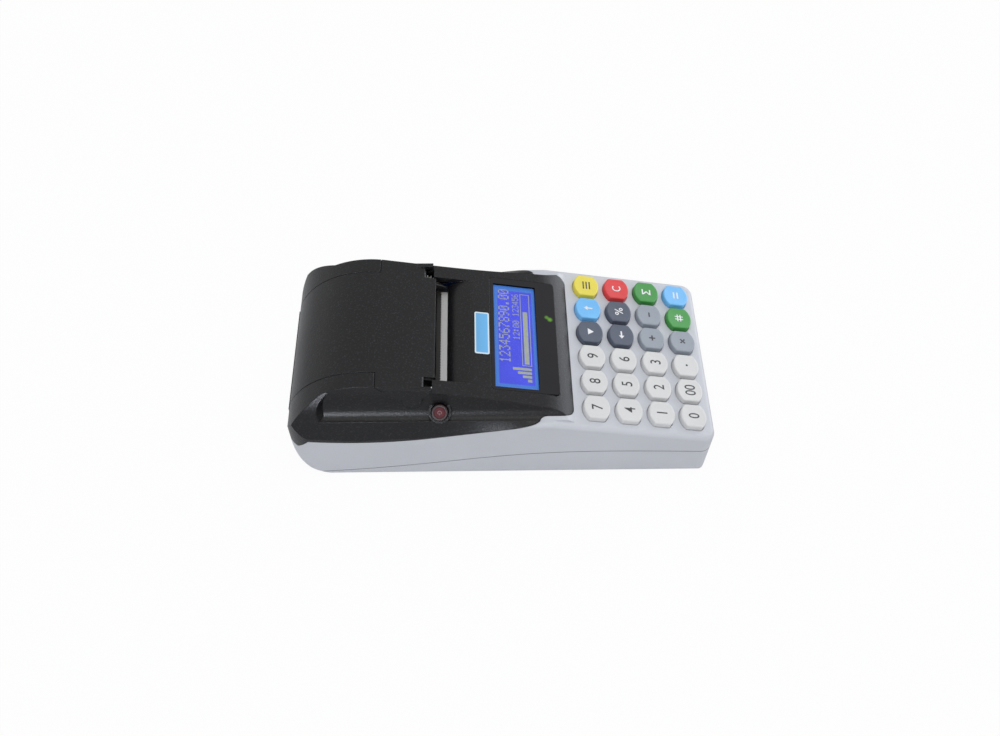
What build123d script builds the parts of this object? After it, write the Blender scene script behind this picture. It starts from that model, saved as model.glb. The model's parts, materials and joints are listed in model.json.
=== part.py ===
from build123d import *
import math
import os

# Portable ticket register: a key deck in front, a receipt printer with a hinged lid behind.
# Millimetres. X across (user's right is +X), Y towards the printer, Z up from the table.
# The origin is on the table, under the middle of the case.

# ---------------------------------------------------------------- driving sizes
body_width = 97.0
body_length = 208.0
half_width = body_width / 2
half_length = body_length / 2
foot_height = 1.0
wall = 2.0
deck_front_height = 31.06
deck_slope = 10.6
crown_slope = 10.7 * 84.0 / (body_length - 124.0)
crown_radius = 40.0
platen_height = 50.0
crown_centre_height = max(25.5, platen_height - 24.5)
heel_radius = 28.0
front_corner_radius = 6.0
rear_corner_radius = 12.0
edge_radius = 2.6
ledge_height = 46.0
hood_front_y = 70.0 - half_length
hood_bend_y = hood_front_y + 14.0

# the cove along each side of the hood, and the flank under it
crease_half_width = half_width - 3.1
shoulder_half_width = crease_half_width - 7.0
cove_height = max(15.0, platen_height - 35.0)
cove_rear_y = half_length - 32.0
cove_end_radius = 9.0

# parting lines seen from the side
seam_points = [
    (-16 - half_length, 20.0),
    (-half_length, 20.2),
    (46 - half_length, 21.6),
    (94 - half_length, 19.4),
    (half_length - 69, 11.8),
    (half_length - 38, 6.9),
    (half_length - 16, 4.6),
    (half_length + 6, 3.4),
]
hood_line_low_y = half_length - 34.0
hood_line_low_height = 32.2
hood_line_radius = 190.0
hood_line_slope = 0.2 * 97.2 / (body_length - 110.8)
seam_gap = 0.2
tongue_height = 2.0
tongue_gap = 0.1

# keypad
key_columns = 6
key_rows = 4
key_pitch_x = 14.94
key_pitch_y = 16.33
keypad_centre_y = 35.0 - half_length
key_width = 12.8
key_length = 13.2
key_side_length = 7.6
key_corner = 1.4
key_rise = 3.0
key_bevel = 0.9
key_travel = 1.5
key_clearance = 0.25
key_flange = 0.8
key_flange_thickness = 0.9
key_seat_gap = 0.3
mat_thickness = 1.2
mat_pad = 0.5
mat_pad_width = 4.4
board_thickness = 1.6

# lid, hinge and paper bay
rail_inner = 30.3
lid_gap = 0.35
lid_front_y = half_length - 72.0
lid_shoulder_y = lid_front_y + 1.4
rail_front_y = lid_front_y + 27.5
lid_wall = 2.2
hinge_barrel_radius = 3.6
hinge_height = 30.0
hinge_pin_radius = 1.25
hinge_clearance = 0.06
tab_radius = 4.6
tab_centre_y = lid_front_y + 10.3
tab_low = crown_centre_height + 26.5
tab_half_width = crease_half_width - 3.2
roll_width = 57.0
roll_radius = 21.0
roll_core_radius = 6.5
roll_bore_radius = 5.2
roll_gap = 0.3
tub_radius = 22.5
tub_wall = 1.4
tub_centre_height = 28.0
tub_side = 1.0

# paper outlet
outlet_half_width = 30.5
outlet_front_y = lid_front_y - 18.5
guide_radius = 14.0
guide_end_y = lid_front_y - 5.8
guide_wall = 1.6
tear_bar_width = 3.0
tear_bar_half_length = 27.2
tear_bar_thickness = 0.6
tear_tooth_pitch = 1.6
tear_tooth_depth = 0.5

# printer
platen_y = lid_front_y + 5.2
platen_radius = 5.0
platen_shaft_radius = 2.0
platen_length = 57.4
bush_radius = 3.2
shaft_clearance = 0.05
ear_thickness = 1.8
frame_side_gap = 0.35
frame_wall = 1.2
gear_module = 0.6
platen_teeth = 20
idler_teeth = 26
pinion_teeth = 11
gear_width = 2.4
gear_backlash = 0.22
idler_direction = 240.0
pinion_direction = 217.0
motor_radius = 8.0
motor_length = 13.0
stud_radius = 1.5
head_height = 11.0
head_thickness = 1.0
head_gap = 0.3

# display
lens_centre_x = 1.0
lens_width = 68.0
lens_front_y = hood_front_y + 6.4
lens_rear_y = lens_front_y + 32.6
lens_thickness = 1.2
lens_corner = 1.5
lens_gap = 0.15
lcd_width = 66.0
lcd_length = 24.0
lcd_centre_y = lens_front_y + 20.2
lcd_thickness = 5.0
led_x = 12.5
led_y = lens_front_y + 3.6
led_radius = 1.5
plate_width = 25.0
plate_length = 7.2
plate_y = lens_rear_y + 4.4
plate_x = -1.0
plate_thickness = 0.4

# power button
button_y = lid_front_y - 2.4
button_x = 4.5 - half_width
button_z = ledge_height + 5.5
button_tilt = 50.0
button_radius = 3.9
button_clearance = 0.3
button_collar = 1.3
button_travel = 0.8
button_length = 7.0

# underside
foot_radius = 5.0
foot_inset_x = 11.0
foot_inset_y = 14.0
foot_recess = 0.8
screw_radius = 1.5
screw_head_radius = 2.8
screw_boss_radius = 4.0
screw_x = half_width - 5.1
screw_rows = [7.0 - half_length, half_length - 42.0]
cell_radius = 7.1
cell_length = 48.0
cell_count = 4
cell_gap = 0.4
cell_centre_y = 42.0 - half_length
door_margin = 3.0
door_gap = 0.2
bay_wall = 1.2

# rear sockets
socket_x = half_width - 10.5
socket_width = 11.0
socket_height = 9.0
socket_z = 13.0
socket_face_y = half_length - 13.0
socket_depth = 10.0
jack_bore_radius = 3.2
jack_pin_radius = 1.0

# ---------------------------------------------------------------- derived places
floor_z = foot_height
heel_centre_height = floor_z + heel_radius
join_sine = (heel_centre_height - crown_centre_height) / (crown_radius - heel_radius)
join_angle = math.asin(join_sine)
crown_centre_y = half_length - heel_radius - (crown_radius - heel_radius) * math.cos(join_angle)
heel_centre_y = half_length - heel_radius
deck_rise = math.tan(math.radians(deck_slope))
crown_rise = math.tan(math.radians(crown_slope))
hinge_y = half_length - hinge_barrel_radius
far = 200.0


def deck_height(y):
    return deck_front_height + (y + half_length) * deck_rise


def crown_height(y, inset=0.0):
    offset = (crown_radius - inset) / math.cos(math.radians(crown_slope))
    return crown_centre_height + offset + (y - crown_centre_y) * crown_rise


def hood_line_height(y):
    turn_y = hood_line_low_y - hood_line_radius * hood_line_slope
    if y < turn_y:
        turn_height = hood_line_low_height + hood_line_radius - math.sqrt(
            hood_line_radius**2 - (hood_line_radius * hood_line_slope) ** 2
        )
        return turn_height + (turn_y - y) * hood_line_slope
    return (
        hood_line_low_height
        + hood_line_radius
        - math.sqrt(hood_line_radius**2 - (y - hood_line_low_y) ** 2)
    )


deck_frame = Plane(
    origin=(0, keypad_centre_y, deck_height(keypad_centre_y)),
    x_dir=(1, 0, 0),
    z_dir=(0, -math.sin(math.radians(deck_slope)), math.cos(math.radians(deck_slope))),
)


def crown_frame(y, x=0.0):
    return Plane(
        origin=(x, y, crown_height(y)),
        x_dir=(1, 0, 0),
        z_dir=(0, -math.sin(math.radians(crown_slope)), math.cos(math.radians(crown_slope))),
    )


# ---------------------------------------------------------------- small helpers
def span(x0, x1, y0, y1, z0, z1):
    """A block given by its limits."""
    return Pos((x0 + x1) / 2, (y0 + y1) / 2, (z0 + z1) / 2) * Box(x1 - x0, y1 - y0, z1 - z0)


def side_prism(face, x0, x1):
    """A face drawn in (y, z), pulled from x0 to x1."""
    return extrude(Plane.YZ.offset(x0) * face, amount=x1 - x0)


def cross_prism(face, y0, y1):
    """A face drawn in (x, z), pulled from y0 to y1."""
    return extrude(Plane.XZ.offset(-y0) * face, amount=-(y1 - y0))


def plan_prism(face, z0, z1):
    """A face drawn in (x, y), pulled from z0 to z1."""
    return extrude(Plane.XY.offset(z0) * face, amount=z1 - z0)


def outline(*points):
    return make_face(Polyline(*points, close=True))


def both_sides(part):
    return part + mirror(part, about=Plane.YZ)


def bar(radius, x0, x1, y, z):
    """A round bar along X."""
    return Pos(x0, y, z) * Rot(0, 90, 0) * Cylinder(
        radius, x1 - x0, align=(Align.CENTER, Align.CENTER, Align.MIN)
    )


# ---------------------------------------------------------------- outer form of the case
def plan_outline(inset):
    front = max(front_corner_radius - inset, 1.0)
    rear = max(rear_corner_radius - inset, 1.0)
    x = half_width - inset
    y = half_length - inset
    face = outline((-x, -y), (x, -y), (x, y), (-x, y))
    front_corners = face.vertices().filter_by(lambda v: v.Y < 0)
    face = fillet(front_corners, front)
    rear_corners = face.vertices().filter_by(lambda v: v.Y > y - 0.01)
    return fillet(rear_corners, rear)


def heel_and_crown(inset, start_z):
    """The rear curve, from the floor round the heel to the crown at start_z."""
    heel = heel_radius - inset
    crown = crown_radius - inset
    floor_point = (heel_centre_y, heel_centre_height - heel)
    heel_mid_angle = (join_angle - math.pi / 2) / 2
    heel_mid = (
        heel_centre_y + heel * math.cos(heel_mid_angle),
        heel_centre_height + heel * math.sin(heel_mid_angle),
    )
    join = (
        heel_centre_y + heel * math.cos(join_angle),
        heel_centre_height + heel * math.sin(join_angle),
    )
    end_angle = math.asin((start_z - crown_centre_height) / crown)
    crown_mid_angle = (join_angle + end_angle) / 2
    crown_mid = (
        crown_centre_y + crown * math.cos(crown_mid_angle),
        crown_centre_height + crown * math.sin(crown_mid_angle),
    )
    end = (
        crown_centre_y + crown * math.cos(end_angle),
        crown_centre_height + crown * math.sin(end_angle),
    )
    return [ThreePointArc(floor_point, heel_mid, join), ThreePointArc(join, crown_mid, end)], end


def lower_block(inset):
    """Floor to deck and ledge: the grey body with the hood's foot."""
    front = -half_length + inset
    floor = floor_z + inset
    drop = inset / math.cos(math.radians(deck_slope))
    ledge = ledge_height - inset
    ledge_y = -half_length + (ledge + drop - deck_front_height) / deck_rise
    toe = edge_radius - inset / 2
    toe_mid = toe * (1 - math.sqrt(0.5))
    arcs, end = heel_and_crown(inset, ledge)
    face = make_face(
        [
            Line((heel_centre_y, floor), (front + toe, floor)),
            ThreePointArc((front + toe, floor), (front + toe_mid, floor + toe_mid), (front, floor + toe)),
            Line((front, floor + toe), (front, deck_height(front) - drop)),
            Line((front, deck_height(front) - drop), (ledge_y, ledge)),
            Line((ledge_y, ledge), end),
            *arcs,
        ]
    )
    block = side_prism(face, -half_width - 5, half_width + 5)
    block &= plan_prism(plan_outline(inset), -5, 90)
    x = half_width - inset
    section = outline((-x, floor), (x, floor), (x, far / 2), (-x, far / 2))
    section = fillet(section.vertices().filter_by(lambda v: v.Y < floor + 1), toe)
    return block & cross_prism(section, -half_length - 5, half_length + 5)


def rounded_lower_block():
    """The deck's rim is rounded as far as the flank, which trims the rim behind it."""
    block = lower_block(0.0)
    split_y = half_length - 102.0
    rear = block & span(-far, far, split_y, far, -far, far)
    front = block & span(-far, far, -far, split_y, -far, far)
    rim = [
        e
        for e in front.edges()
        if e.bounding_box().min.Z > deck_front_height - 1
        and e.center().Y < split_y - 0.01
        and (abs(e.center().X) > half_width - front_corner_radius or e.center().Y < 1 - half_length)
    ]
    return fillet(rim, edge_radius) + rear


def cove_curve(inset):
    """Concave side of the hood, from the crease up to the shoulder, drawn in (x, z)."""
    crease = (crease_half_width - inset, ledge_height - inset)
    top = (shoulder_half_width - inset, ledge_height + cove_height - inset)
    middle_angle = math.radians(45)
    reach = crease_half_width - shoulder_half_width
    middle = (
        crease[0] - reach * math.sin(middle_angle),
        top[1] - cove_height * math.cos(middle_angle),
    )
    return crease, middle, top


def cove_tool(inset):
    crease, middle, top = cove_curve(inset)
    far_x = half_width + 20
    rise = Spline(crease, middle, top, tangents=((-1, 0.0), (0, 1)))
    face = make_face(
        [
            rise,
            Line(top, (top[0], far / 2)),
            Line((top[0], far / 2), (far_x, far / 2)),
            Line((far_x, far / 2), (far_x, crease[1])),
            Line((far_x, crease[1]), crease),
        ]
    )
    groove = cross_prism(face, -half_length, half_length)
    middle_z = ledge_height + cove_end_radius - 1.5
    end_face = outline(
        (-half_length, ledge_height - 20),
        (cove_rear_y, ledge_height - 20),
        (cove_rear_y, middle_z + cove_end_radius),
        (cove_rear_y - 30, far / 2),
        (-half_length, far / 2),
    ) + Pos(cove_rear_y, middle_z) * Circle(cove_end_radius)
    start = shoulder_half_width - inset - 3
    run_out = extrude(Plane.YZ.offset(start) * end_face, amount=far_x - start, taper=-38)
    return both_sides(groove & run_out)


def flank_tool(inset):
    """Trims the hood's side below the crease, from flat at the front to steep at the rear."""
    first_y = -half_length + (ledge_height - deck_front_height) / deck_rise + 5.0
    stations = [first_y, half_length - 94, half_length - 64, half_length - 34, half_length + 4]
    crease_x = crease_half_width - inset
    sections = []
    for y in stations:
        low = min(hood_line_height(y), ledge_height - 0.2)
        edge = (half_width - inset + 0.4, low - inset * 0.3 - 0.1)
        top = ledge_height - inset * 0.5
        section = outline(
            (crease_x, top),
            edge,
            (half_width + 10, edge[1]),
            (half_width + 10, ledge_height + 1),
            (crease_x, ledge_height + 1),
        )
        sections.append(Plane.XZ.offset(-y) * section)
    return both_sides(loft(sections, ruled=True))


def crown_block(inset):
    """The hood's raised form over the ledge, before its openings."""
    base = ledge_height - 8
    arcs, end = heel_and_crown(inset, base)
    crown = crown_radius - inset
    start_angle = math.asin((base - crown_centre_height) / crown)
    top_angle = math.radians(90 + crown_slope)
    middle_angle = (start_angle + top_angle) / 2
    crown_top = (
        crown_centre_y + crown * math.cos(top_angle),
        crown_centre_height + crown * math.sin(top_angle),
    )
    crown_middle = (
        crown_centre_y + crown * math.cos(middle_angle),
        crown_centre_height + crown * math.sin(middle_angle),
    )
    bend = (hood_bend_y, crown_height(hood_bend_y, inset))
    foot = (hood_front_y + inset, deck_height(hood_front_y) - inset * 0.6)
    bend_line = TangentArc(bend, foot, tangent=(-1, -crown_rise))
    face = make_face(
        [
            ThreePointArc(end, crown_middle, crown_top),
            Line(crown_top, bend),
            bend_line,
            Line(foot, (foot[0], base)),
            Line((foot[0], base), end),
        ]
    )
    block = side_prism(face, -half_width - 5, half_width + 5)
    side = crease_half_width - inset
    shoulder = shoulder_half_width - inset
    low = ledge_height - inset
    high = ledge_height + cove_height - inset
    bulge = ((side + shoulder) / 2 + 1.2, (low + high) / 2)
    section = make_face(
        [
            Line((-side, base - 1), (side, base - 1)),
            Line((side, base - 1), (side, low)),
            ThreePointArc((side, low), bulge, (shoulder, high)),
            Line((shoulder, high), (shoulder, far / 2)),
            Line((shoulder, far / 2), (-shoulder, far / 2)),
            Line((-shoulder, far / 2), (-shoulder, high)),
            ThreePointArc((-shoulder, high), (-bulge[0], bulge[1]), (-side, low)),
            Line((-side, low), (-side, base - 1)),
        ]
    )
    block &= cross_prism(section, -half_length, half_length + 5)
    block &= plan_prism(plan_outline(inset), -5, 90)
    return block - cove_tool(inset)


def outer_form():
    return rounded_lower_block() + crown_block(0.0) - flank_tool(0.0)


def inner_form(inset):
    return lower_block(inset) + crown_block(inset) - flank_tool(inset)


# ---------------------------------------------------------------- regions that split the shell
def above_seam(shift):
    points = [(y, z + shift) for y, z in seam_points]
    curve = Spline(*points)
    first = points[0]
    last = points[-1]
    face = make_face(
        [
            curve,
            Line(last, (last[0], far / 2)),
            Line((last[0], far / 2), (first[0], far / 2)),
            Line((first[0], far / 2), first),
        ]
    )
    return side_prism(face, -half_width - 10, half_width + 10)


def hood_region(shift):
    """Everything that belongs to the black hood, lowered and widened by shift."""
    turn_y = hood_line_low_y - hood_line_radius * hood_line_slope
    front_y = -half_length + (ledge_height - deck_front_height) / deck_rise - 3.0
    rear_y = half_length - 11
    tail_y = half_length + 6
    tail_z = hinge_height - hinge_barrel_radius
    mid_y = (turn_y + rear_y) / 2
    line_start = (front_y, hood_line_height(front_y) - shift)
    turn = (turn_y, hood_line_height(turn_y) - shift)
    rear = (rear_y, hood_line_height(rear_y) - shift)
    face = make_face(
        [
            Line(line_start, turn),
            ThreePointArc(turn, (mid_y, hood_line_height(mid_y) - shift), rear),
            Line(rear, (rear_y + 6, tail_z - shift)),
            Line((rear_y + 6, tail_z - shift), (tail_y, tail_z - shift)),
            Line((tail_y, tail_z - shift), (tail_y, far / 2)),
            Line((tail_y, far / 2), (front_y, far / 2)),
            Line((front_y, far / 2), line_start),
        ]
    )
    region = side_prism(face, -half_width - 10, half_width + 10)
    tip_x = crease_half_width - 2.4 + shift
    tip_y = hood_front_y - shift
    tip = outline((-tip_x, tip_y), (tip_x, tip_y), (tip_x, front_y + 8), (-tip_x, front_y + 8))
    tip = fillet(tip.vertices().filter_by(lambda v: v.Y < tip_y + 0.01), 5.0 + shift)
    strip = plan_prism(tip, 0, far / 2)
    below = outline(
        (hood_front_y - 5, deck_height(hood_front_y - 5) - wall - 0.2 - shift),
        (front_y + 10, deck_height(front_y + 10) - wall - 0.2 - shift),
        (front_y + 10, far / 2),
        (hood_front_y - 5, far / 2),
    )
    return region + (strip & side_prism(below, -half_width, half_width))


def lid_region(gap):
    """The lid's share of the shell: between the rails, and the wide front with its tabs."""
    x = rail_inner - lid_gap + gap
    rear_z = hinge_height
    middle = side_prism(
        outline(
            (lid_front_y - gap, 90),
            (lid_front_y - gap, crown_centre_height + 29.5),
            (half_length - 29, 50),
            (hinge_y - 4, rear_z),
            (half_length + 5, rear_z),
            (half_length + 5, 90),
        ),
        -x,
        x,
    )
    front_y = lid_shoulder_y - gap
    rear_y = rail_front_y - lid_gap + gap
    tab_z = tab_low + tab_radius
    flap = outline(
        (front_y, 90),
        (front_y, crown_centre_height + 35),
        (tab_centre_y - tab_radius - gap, tab_z + 0.4),
        (tab_centre_y - tab_radius - gap, tab_z),
        (tab_centre_y + tab_radius + gap * 1.6, tab_z),
        (tab_centre_y + 9.2, crown_centre_height + 31.9 - gap),
        (tab_centre_y + 13.9, crown_centre_height + 36.5 - gap),
        (rear_y, crown_centre_height + 39.4),
        (rear_y, 90),
    ) + Pos(tab_centre_y + gap * 0.6, tab_z) * Circle(tab_radius + gap * 1.6)
    return middle, side_prism(flap, -half_width - 5, half_width + 5)


# ---------------------------------------------------------------- gears
def gear(teeth, width):
    """A spur wheel with straight-flanked teeth, thinned for backlash, axis along Z."""
    pitch_radius = gear_module * teeth / 2
    tip = pitch_radius + 0.95 * gear_module
    root = pitch_radius - 1.2 * gear_module
    half_pitch = math.pi * gear_module / 4 - gear_backlash / 2
    tip_half = half_pitch * 0.5 / tip
    pitch_half = half_pitch / pitch_radius
    root_half = half_pitch * 1.35 / root
    points = []
    for i in range(teeth):
        centre = 2 * math.pi * i / teeth
        for radius, turn in (
            (root, -root_half),
            (pitch_radius, -pitch_half),
            (tip, -tip_half),
            (tip, tip_half),
            (pitch_radius, pitch_half),
            (root, root_half),
        ):
            angle = centre + turn
            points.append((radius * math.cos(angle), radius * math.sin(angle)))
    return extrude(outline(*points), amount=width)


def place_gear(blank, x, y, z, turn):
    """Stands a wheel on the X axis; turn is the angle of its first tooth from +Y."""
    return Pos(x, y, z) * Plane.YZ.location * Rot(0, 0, turn) * blank


# ---------------------------------------------------------------- case shells
outer = outer_form()
inner = inner_form(wall)
shell = outer - inner
tongue_form = inner_form(wall / 2)
hood_cut = hood_region(seam_gap)
hood_space = hood_region(0.0)
lid_middle, lid_flap = lid_region(0.0)
lid_middle_cut, lid_flap_cut = lid_region(lid_gap)

screw_places = [(x, y) for x in (-screw_x, screw_x) for y in screw_rows]
post_top = 26.0
foot_places = [
    (x, y)
    for x in (-half_width + foot_inset_x, half_width - foot_inset_x)
    for y in (-half_length + foot_inset_y, heel_centre_y - 4)
]
bay_width = cell_count * (2 * cell_radius + cell_gap) + cell_gap
door_width = bay_width + 2 * door_margin
door_length = cell_length + 2 * door_margin


def build_tray():
    tray = (shell - above_seam(0.0)) - span(-99, 99, -120, 120, 40, 90)
    rim = (tongue_form - inner) & above_seam(-0.5)
    rim -= above_seam(tongue_height)
    tray += rim
    for x, y in screw_places:
        tray += Pos(x, y, floor_z + 3.5) * Cylinder(screw_boss_radius, 7.0)
        tray -= Pos(x, y, floor_z + 3.5) * Cylinder(screw_radius + 0.1, 12.0)
        tray -= Pos(x, y, floor_z + 1.2) * Cylinder(screw_head_radius + 0.2, 2.4 + 0.01)
    for x, y in foot_places:
        tray -= Pos(x, y, floor_z) * Cylinder(foot_radius + 0.1, 2 * foot_recess)
    door_opening = span(
        -door_width / 2 - door_gap,
        door_width / 2 + door_gap,
        cell_centre_y - door_length / 2 - door_gap,
        cell_centre_y + door_length / 2 + door_gap,
        floor_z - 1,
        floor_z + 1.2,
    )
    bay_opening = span(
        -bay_width / 2, bay_width / 2,
        cell_centre_y - cell_length / 2 - 1, cell_centre_y + cell_length / 2 + 1,
        floor_z - 1, floor_z + 4,
    )
    tray = tray - door_opening - bay_opening
    bay_top = floor_z + 2 * cell_radius + 1.6
    bay_outer = span(
        -bay_width / 2 - bay_wall, bay_width / 2 + bay_wall,
        cell_centre_y - cell_length / 2 - 1 - bay_wall, cell_centre_y + cell_length / 2 + 1 + bay_wall,
        floor_z + 1.2, bay_top,
    )
    bay_inner = span(
        -bay_width / 2, bay_width / 2,
        cell_centre_y - cell_length / 2 - 1, cell_centre_y + cell_length / 2 + 1,
        floor_z - 1, bay_top + 1,
    )
    tray += bay_outer - bay_inner
    return tray


def key_outline(grow=0.0):
    half = key_width / 2 + grow
    side = key_side_length / 2
    end = key_length / 2 + grow
    face = make_face(
        [
            Line((half, -side), (half, side)),
            ThreePointArc((half, side), (0, end), (-half, side)),
            Line((-half, side), (-half, -side)),
            ThreePointArc((-half, -side), (0, -end), (half, -side)),
        ]
    )
    return fillet(face.vertices(), key_corner)


def key_places():
    places = []
    for row in range(key_rows):
        for column in range(key_columns):
            x = (column - (key_columns - 1) / 2) * key_pitch_x
            y = ((key_rows - 1) / 2 - row) * key_pitch_y
            places.append((x, y))
    return places


def build_case():
    case = (shell & above_seam(seam_gap)) - hood_cut
    groove = (tongue_form & above_seam(-1.0)) - above_seam(tongue_height + 0.3)
    groove_fit = inner_form(wall / 2 - tongue_gap) & groove
    case -= groove_fit
    opening = extrude(deck_frame.offset(-wall - 2) * key_outline(key_clearance), amount=wall + 4)
    for x, y in key_places():
        case -= deck_frame.location * Pos(x, y, 0) * deck_frame.location.inverse() * opening
    case -= bar(hinge_barrel_radius + lid_gap, -rail_inner, rail_inner, hinge_y, hinge_height)
    for x, y in screw_places:
        top = post_top
        post = Pos(x, y, (floor_z + 7.0 + top) / 2) * Cylinder(
            screw_boss_radius - 0.6, top - floor_z - 7.0
        )
        low_post = post & inner_form(wall + tongue_gap)
        high_post = post & inner_form(wall / 2) & above_seam(tongue_height + 0.4)
        case += low_post + high_post
        case -= Pos(x, y, floor_z + 12) * Cylinder(screw_radius - 0.2, 12.0)
    for sign in (-1, 1):
        x = sign * socket_x
        pocket_outer = span(
            x - socket_width / 2 - 1.2, x + socket_width / 2 + 1.2,
            socket_face_y - 1.2, half_length,
            socket_z - socket_height / 2 - 1.2, socket_z + socket_height / 2 + 1.2,
        )
        pocket = span(
            x - socket_width / 2, x + socket_width / 2,
            socket_face_y, half_length + 5,
            socket_z - socket_height / 2, socket_z + socket_height / 2,
        )
        case += pocket_outer & outer
        case -= pocket
        if sign > 0:
            hole = Pos(x, socket_face_y, socket_z) * Rot(90, 0, 0) * Cylinder(jack_bore_radius + 0.4, 6)
        else:
            hole = span(
                x - socket_width / 2 + 1.5, x + socket_width / 2 - 1.5,
                socket_face_y - 3, socket_face_y + 3,
                socket_z - socket_height / 2 + 1.2, socket_z + socket_height / 2 - 1.2,
            )
        case -= hole
    return case


button_axis = Plane(
    origin=(button_x, button_y, button_z),
    x_dir=(0, 1, 0),
    z_dir=(-math.sin(math.radians(90 - button_tilt)), 0, math.cos(math.radians(90 - button_tilt))),
)


def guide_profile(thickness):
    """The rounded lip that the paper leaves over, in (y, z)."""
    slope = math.radians(crown_slope)
    start = (outlet_front_y, crown_height(outlet_front_y))
    centre = (start[0] + guide_radius * math.sin(slope), start[1] - guide_radius * math.cos(slope))
    end_angle = math.acos((guide_end_y - centre[0]) / guide_radius)
    start_angle = math.radians(90 + crown_slope)
    middle_angle = (start_angle + end_angle) / 2

    def on_arc(radius, angle):
        return (centre[0] + radius * math.cos(angle), centre[1] + radius * math.sin(angle))

    inner_radius = guide_radius - thickness
    tail = 1.5
    along = (-tail * math.cos(slope), -tail * math.sin(slope))
    top_start = on_arc(guide_radius, start_angle)
    low_start = on_arc(inner_radius, start_angle)
    top_tail = (top_start[0] + along[0], top_start[1] + along[1])
    low_tail = (low_start[0] + along[0], low_start[1] + along[1])
    return make_face(
        [
            ThreePointArc(
                on_arc(guide_radius, start_angle),
                on_arc(guide_radius, middle_angle),
                on_arc(guide_radius, end_angle),
            ),
            Line(on_arc(guide_radius, end_angle), on_arc(inner_radius, end_angle)),
            ThreePointArc(
                on_arc(inner_radius, end_angle),
                on_arc(inner_radius, middle_angle),
                on_arc(inner_radius, start_angle),
            ),
            Line(low_start, low_tail),
            Line(low_tail, top_tail),
            Line(top_tail, top_start),
        ]
    ), on_arc(guide_radius, end_angle)


def build_hood():
    hood = shell & hood_space
    hood -= lid_middle_cut
    hood -= lid_flap_cut - span(-rail_inner, rail_inner, 0, 120, 0, 90)
    hood -= span(-rail_inner, rail_inner, lid_front_y - lid_gap, rail_front_y, platen_height, 90)
    hood -= span(-rail_inner, rail_inner, hinge_y - 8, half_length + 5, 20, hinge_height + 1)
    ear_space = gear_x + gear_width + 0.5
    hood -= span(
        -ear_space, ear_space,
        lid_shoulder_y - lid_gap, platen_y + 10,
        40, crown_centre_height + 35.1,
    )
    # rails: cheeks facing the paper bay, which hold the hinge pin
    cheek = (inner_form(0.8) & hood_space) & span(
        rail_inner, rail_inner + 1.6, rail_front_y, half_length + 5, 24, 90
    )
    hood += both_sides(cheek)
    hood -= bar(hinge_pin_radius, -rail_inner - 4, rail_inner + 4, hinge_y, hinge_height)
    # paper outlet: opening, rounded guide and side cheeks
    hood -= span(
        -outlet_half_width - 0.6, outlet_half_width + 0.6,
        outlet_front_y, lid_shoulder_y - lid_gap,
        platen_height - 2, 90,
    )
    guide, _ = guide_profile(guide_wall)
    hood += side_prism(guide, -outlet_half_width - 0.6, outlet_half_width + 0.6)
    outlet_cheek = (inner_form(0.8) & hood_space) & span(
        outlet_half_width + 0.6, outlet_half_width + 1.8,
        outlet_front_y - 2, lid_shoulder_y - lid_gap,
        56, 90,
    )
    hood += both_sides(outlet_cheek)
    # window recess and the opening under it
    lens_mid = (lens_rear_y + lens_front_y) / 2
    frame = crown_frame(lens_mid, lens_centre_x)
    length = (lens_rear_y - lens_front_y) / math.cos(math.radians(crown_slope))
    recess = extrude(
        frame.offset(-lens_thickness)
        * RectangleRounded(lens_width + 2 * lens_gap, length + 2 * lens_gap, lens_corner),
        amount=6,
    )
    hood -= recess
    lcd_frame = crown_frame(lcd_centre_y, 0)
    hood -= extrude(lcd_frame.offset(-6) * Rectangle(lcd_width - 2, lcd_length - 2), amount=8)
    led_hole = crown_frame(led_y, led_x)
    hood -= extrude(led_hole.offset(-6) * Circle(led_radius + 0.2), amount=8)
    # power button bore with its collar
    collar = extrude(
        button_axis.offset(-button_length - 1) * Circle(button_radius + button_clearance + button_collar),
        amount=button_length - 1.5,
    )
    collar &= hood_space
    hood += collar
    hood -= extrude(
        button_axis.offset(-button_length - 4) * Circle(button_radius + button_clearance), amount=20
    )
    return hood


def build_lid():
    lid_inner = inner_form(lid_wall)
    lid_shell = outer - lid_inner
    middle = lid_shell & lid_middle
    shoulder_top = ledge_height + cove_height
    flap = (lid_shell & lid_flap) & span(-half_width, half_width, 0, 90, shoulder_top, 90)
    crease_line = [
        (shoulder_half_width, shoulder_top + 1),
        (tab_half_width, tab_low - 1),
        (tab_half_width - lid_wall, tab_low - 1),
        (shoulder_half_width - lid_wall, shoulder_top - 1),
        (shoulder_half_width - lid_wall, shoulder_top + 1),
    ]
    tab = cross_prism(outline(*crease_line), lid_shoulder_y, rail_front_y - lid_gap) & lid_flap
    lid = middle + flap + both_sides(tab)
    lid -= bar(hinge_barrel_radius + 0.0, -40, 40, hinge_y, hinge_height)
    barrel = bar(hinge_barrel_radius, -rail_inner + lid_gap, rail_inner - lid_gap, hinge_y, hinge_height)
    barrel += span(
        -rail_inner + lid_gap, rail_inner - lid_gap,
        hinge_y + hinge_barrel_radius - lid_wall, half_length - 0.05,
        hinge_height, hinge_height + 4,
    )
    lid += barrel
    ear_x = platen_length / 2 + 0.4
    ear = side_prism(
        outline(
            (platen_y - 4.6, platen_height),
            (platen_y - 4.6, crown_height(platen_y - 4.6) - 1),
            (platen_y + 8, crown_height(platen_y + 8) - 1),
            (platen_y + 4.6, platen_height),
        )
        + Pos(platen_y, platen_height) * Circle(4.6),
        ear_x,
        ear_x + ear_thickness,
    )
    ear -= bar(bush_radius, 0, 60, platen_y, platen_height)
    lid += both_sides(ear)
    lid -= bar(hinge_pin_radius + hinge_clearance, -40, 40, hinge_y, hinge_height)
    return lid


# ---------------------------------------------------------------- small parts of the case
def build_feet():
    height = floor_z + foot_recess
    return [Pos(x, y, height / 2) * Cylinder(foot_radius, height) for x, y in foot_places]


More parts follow.
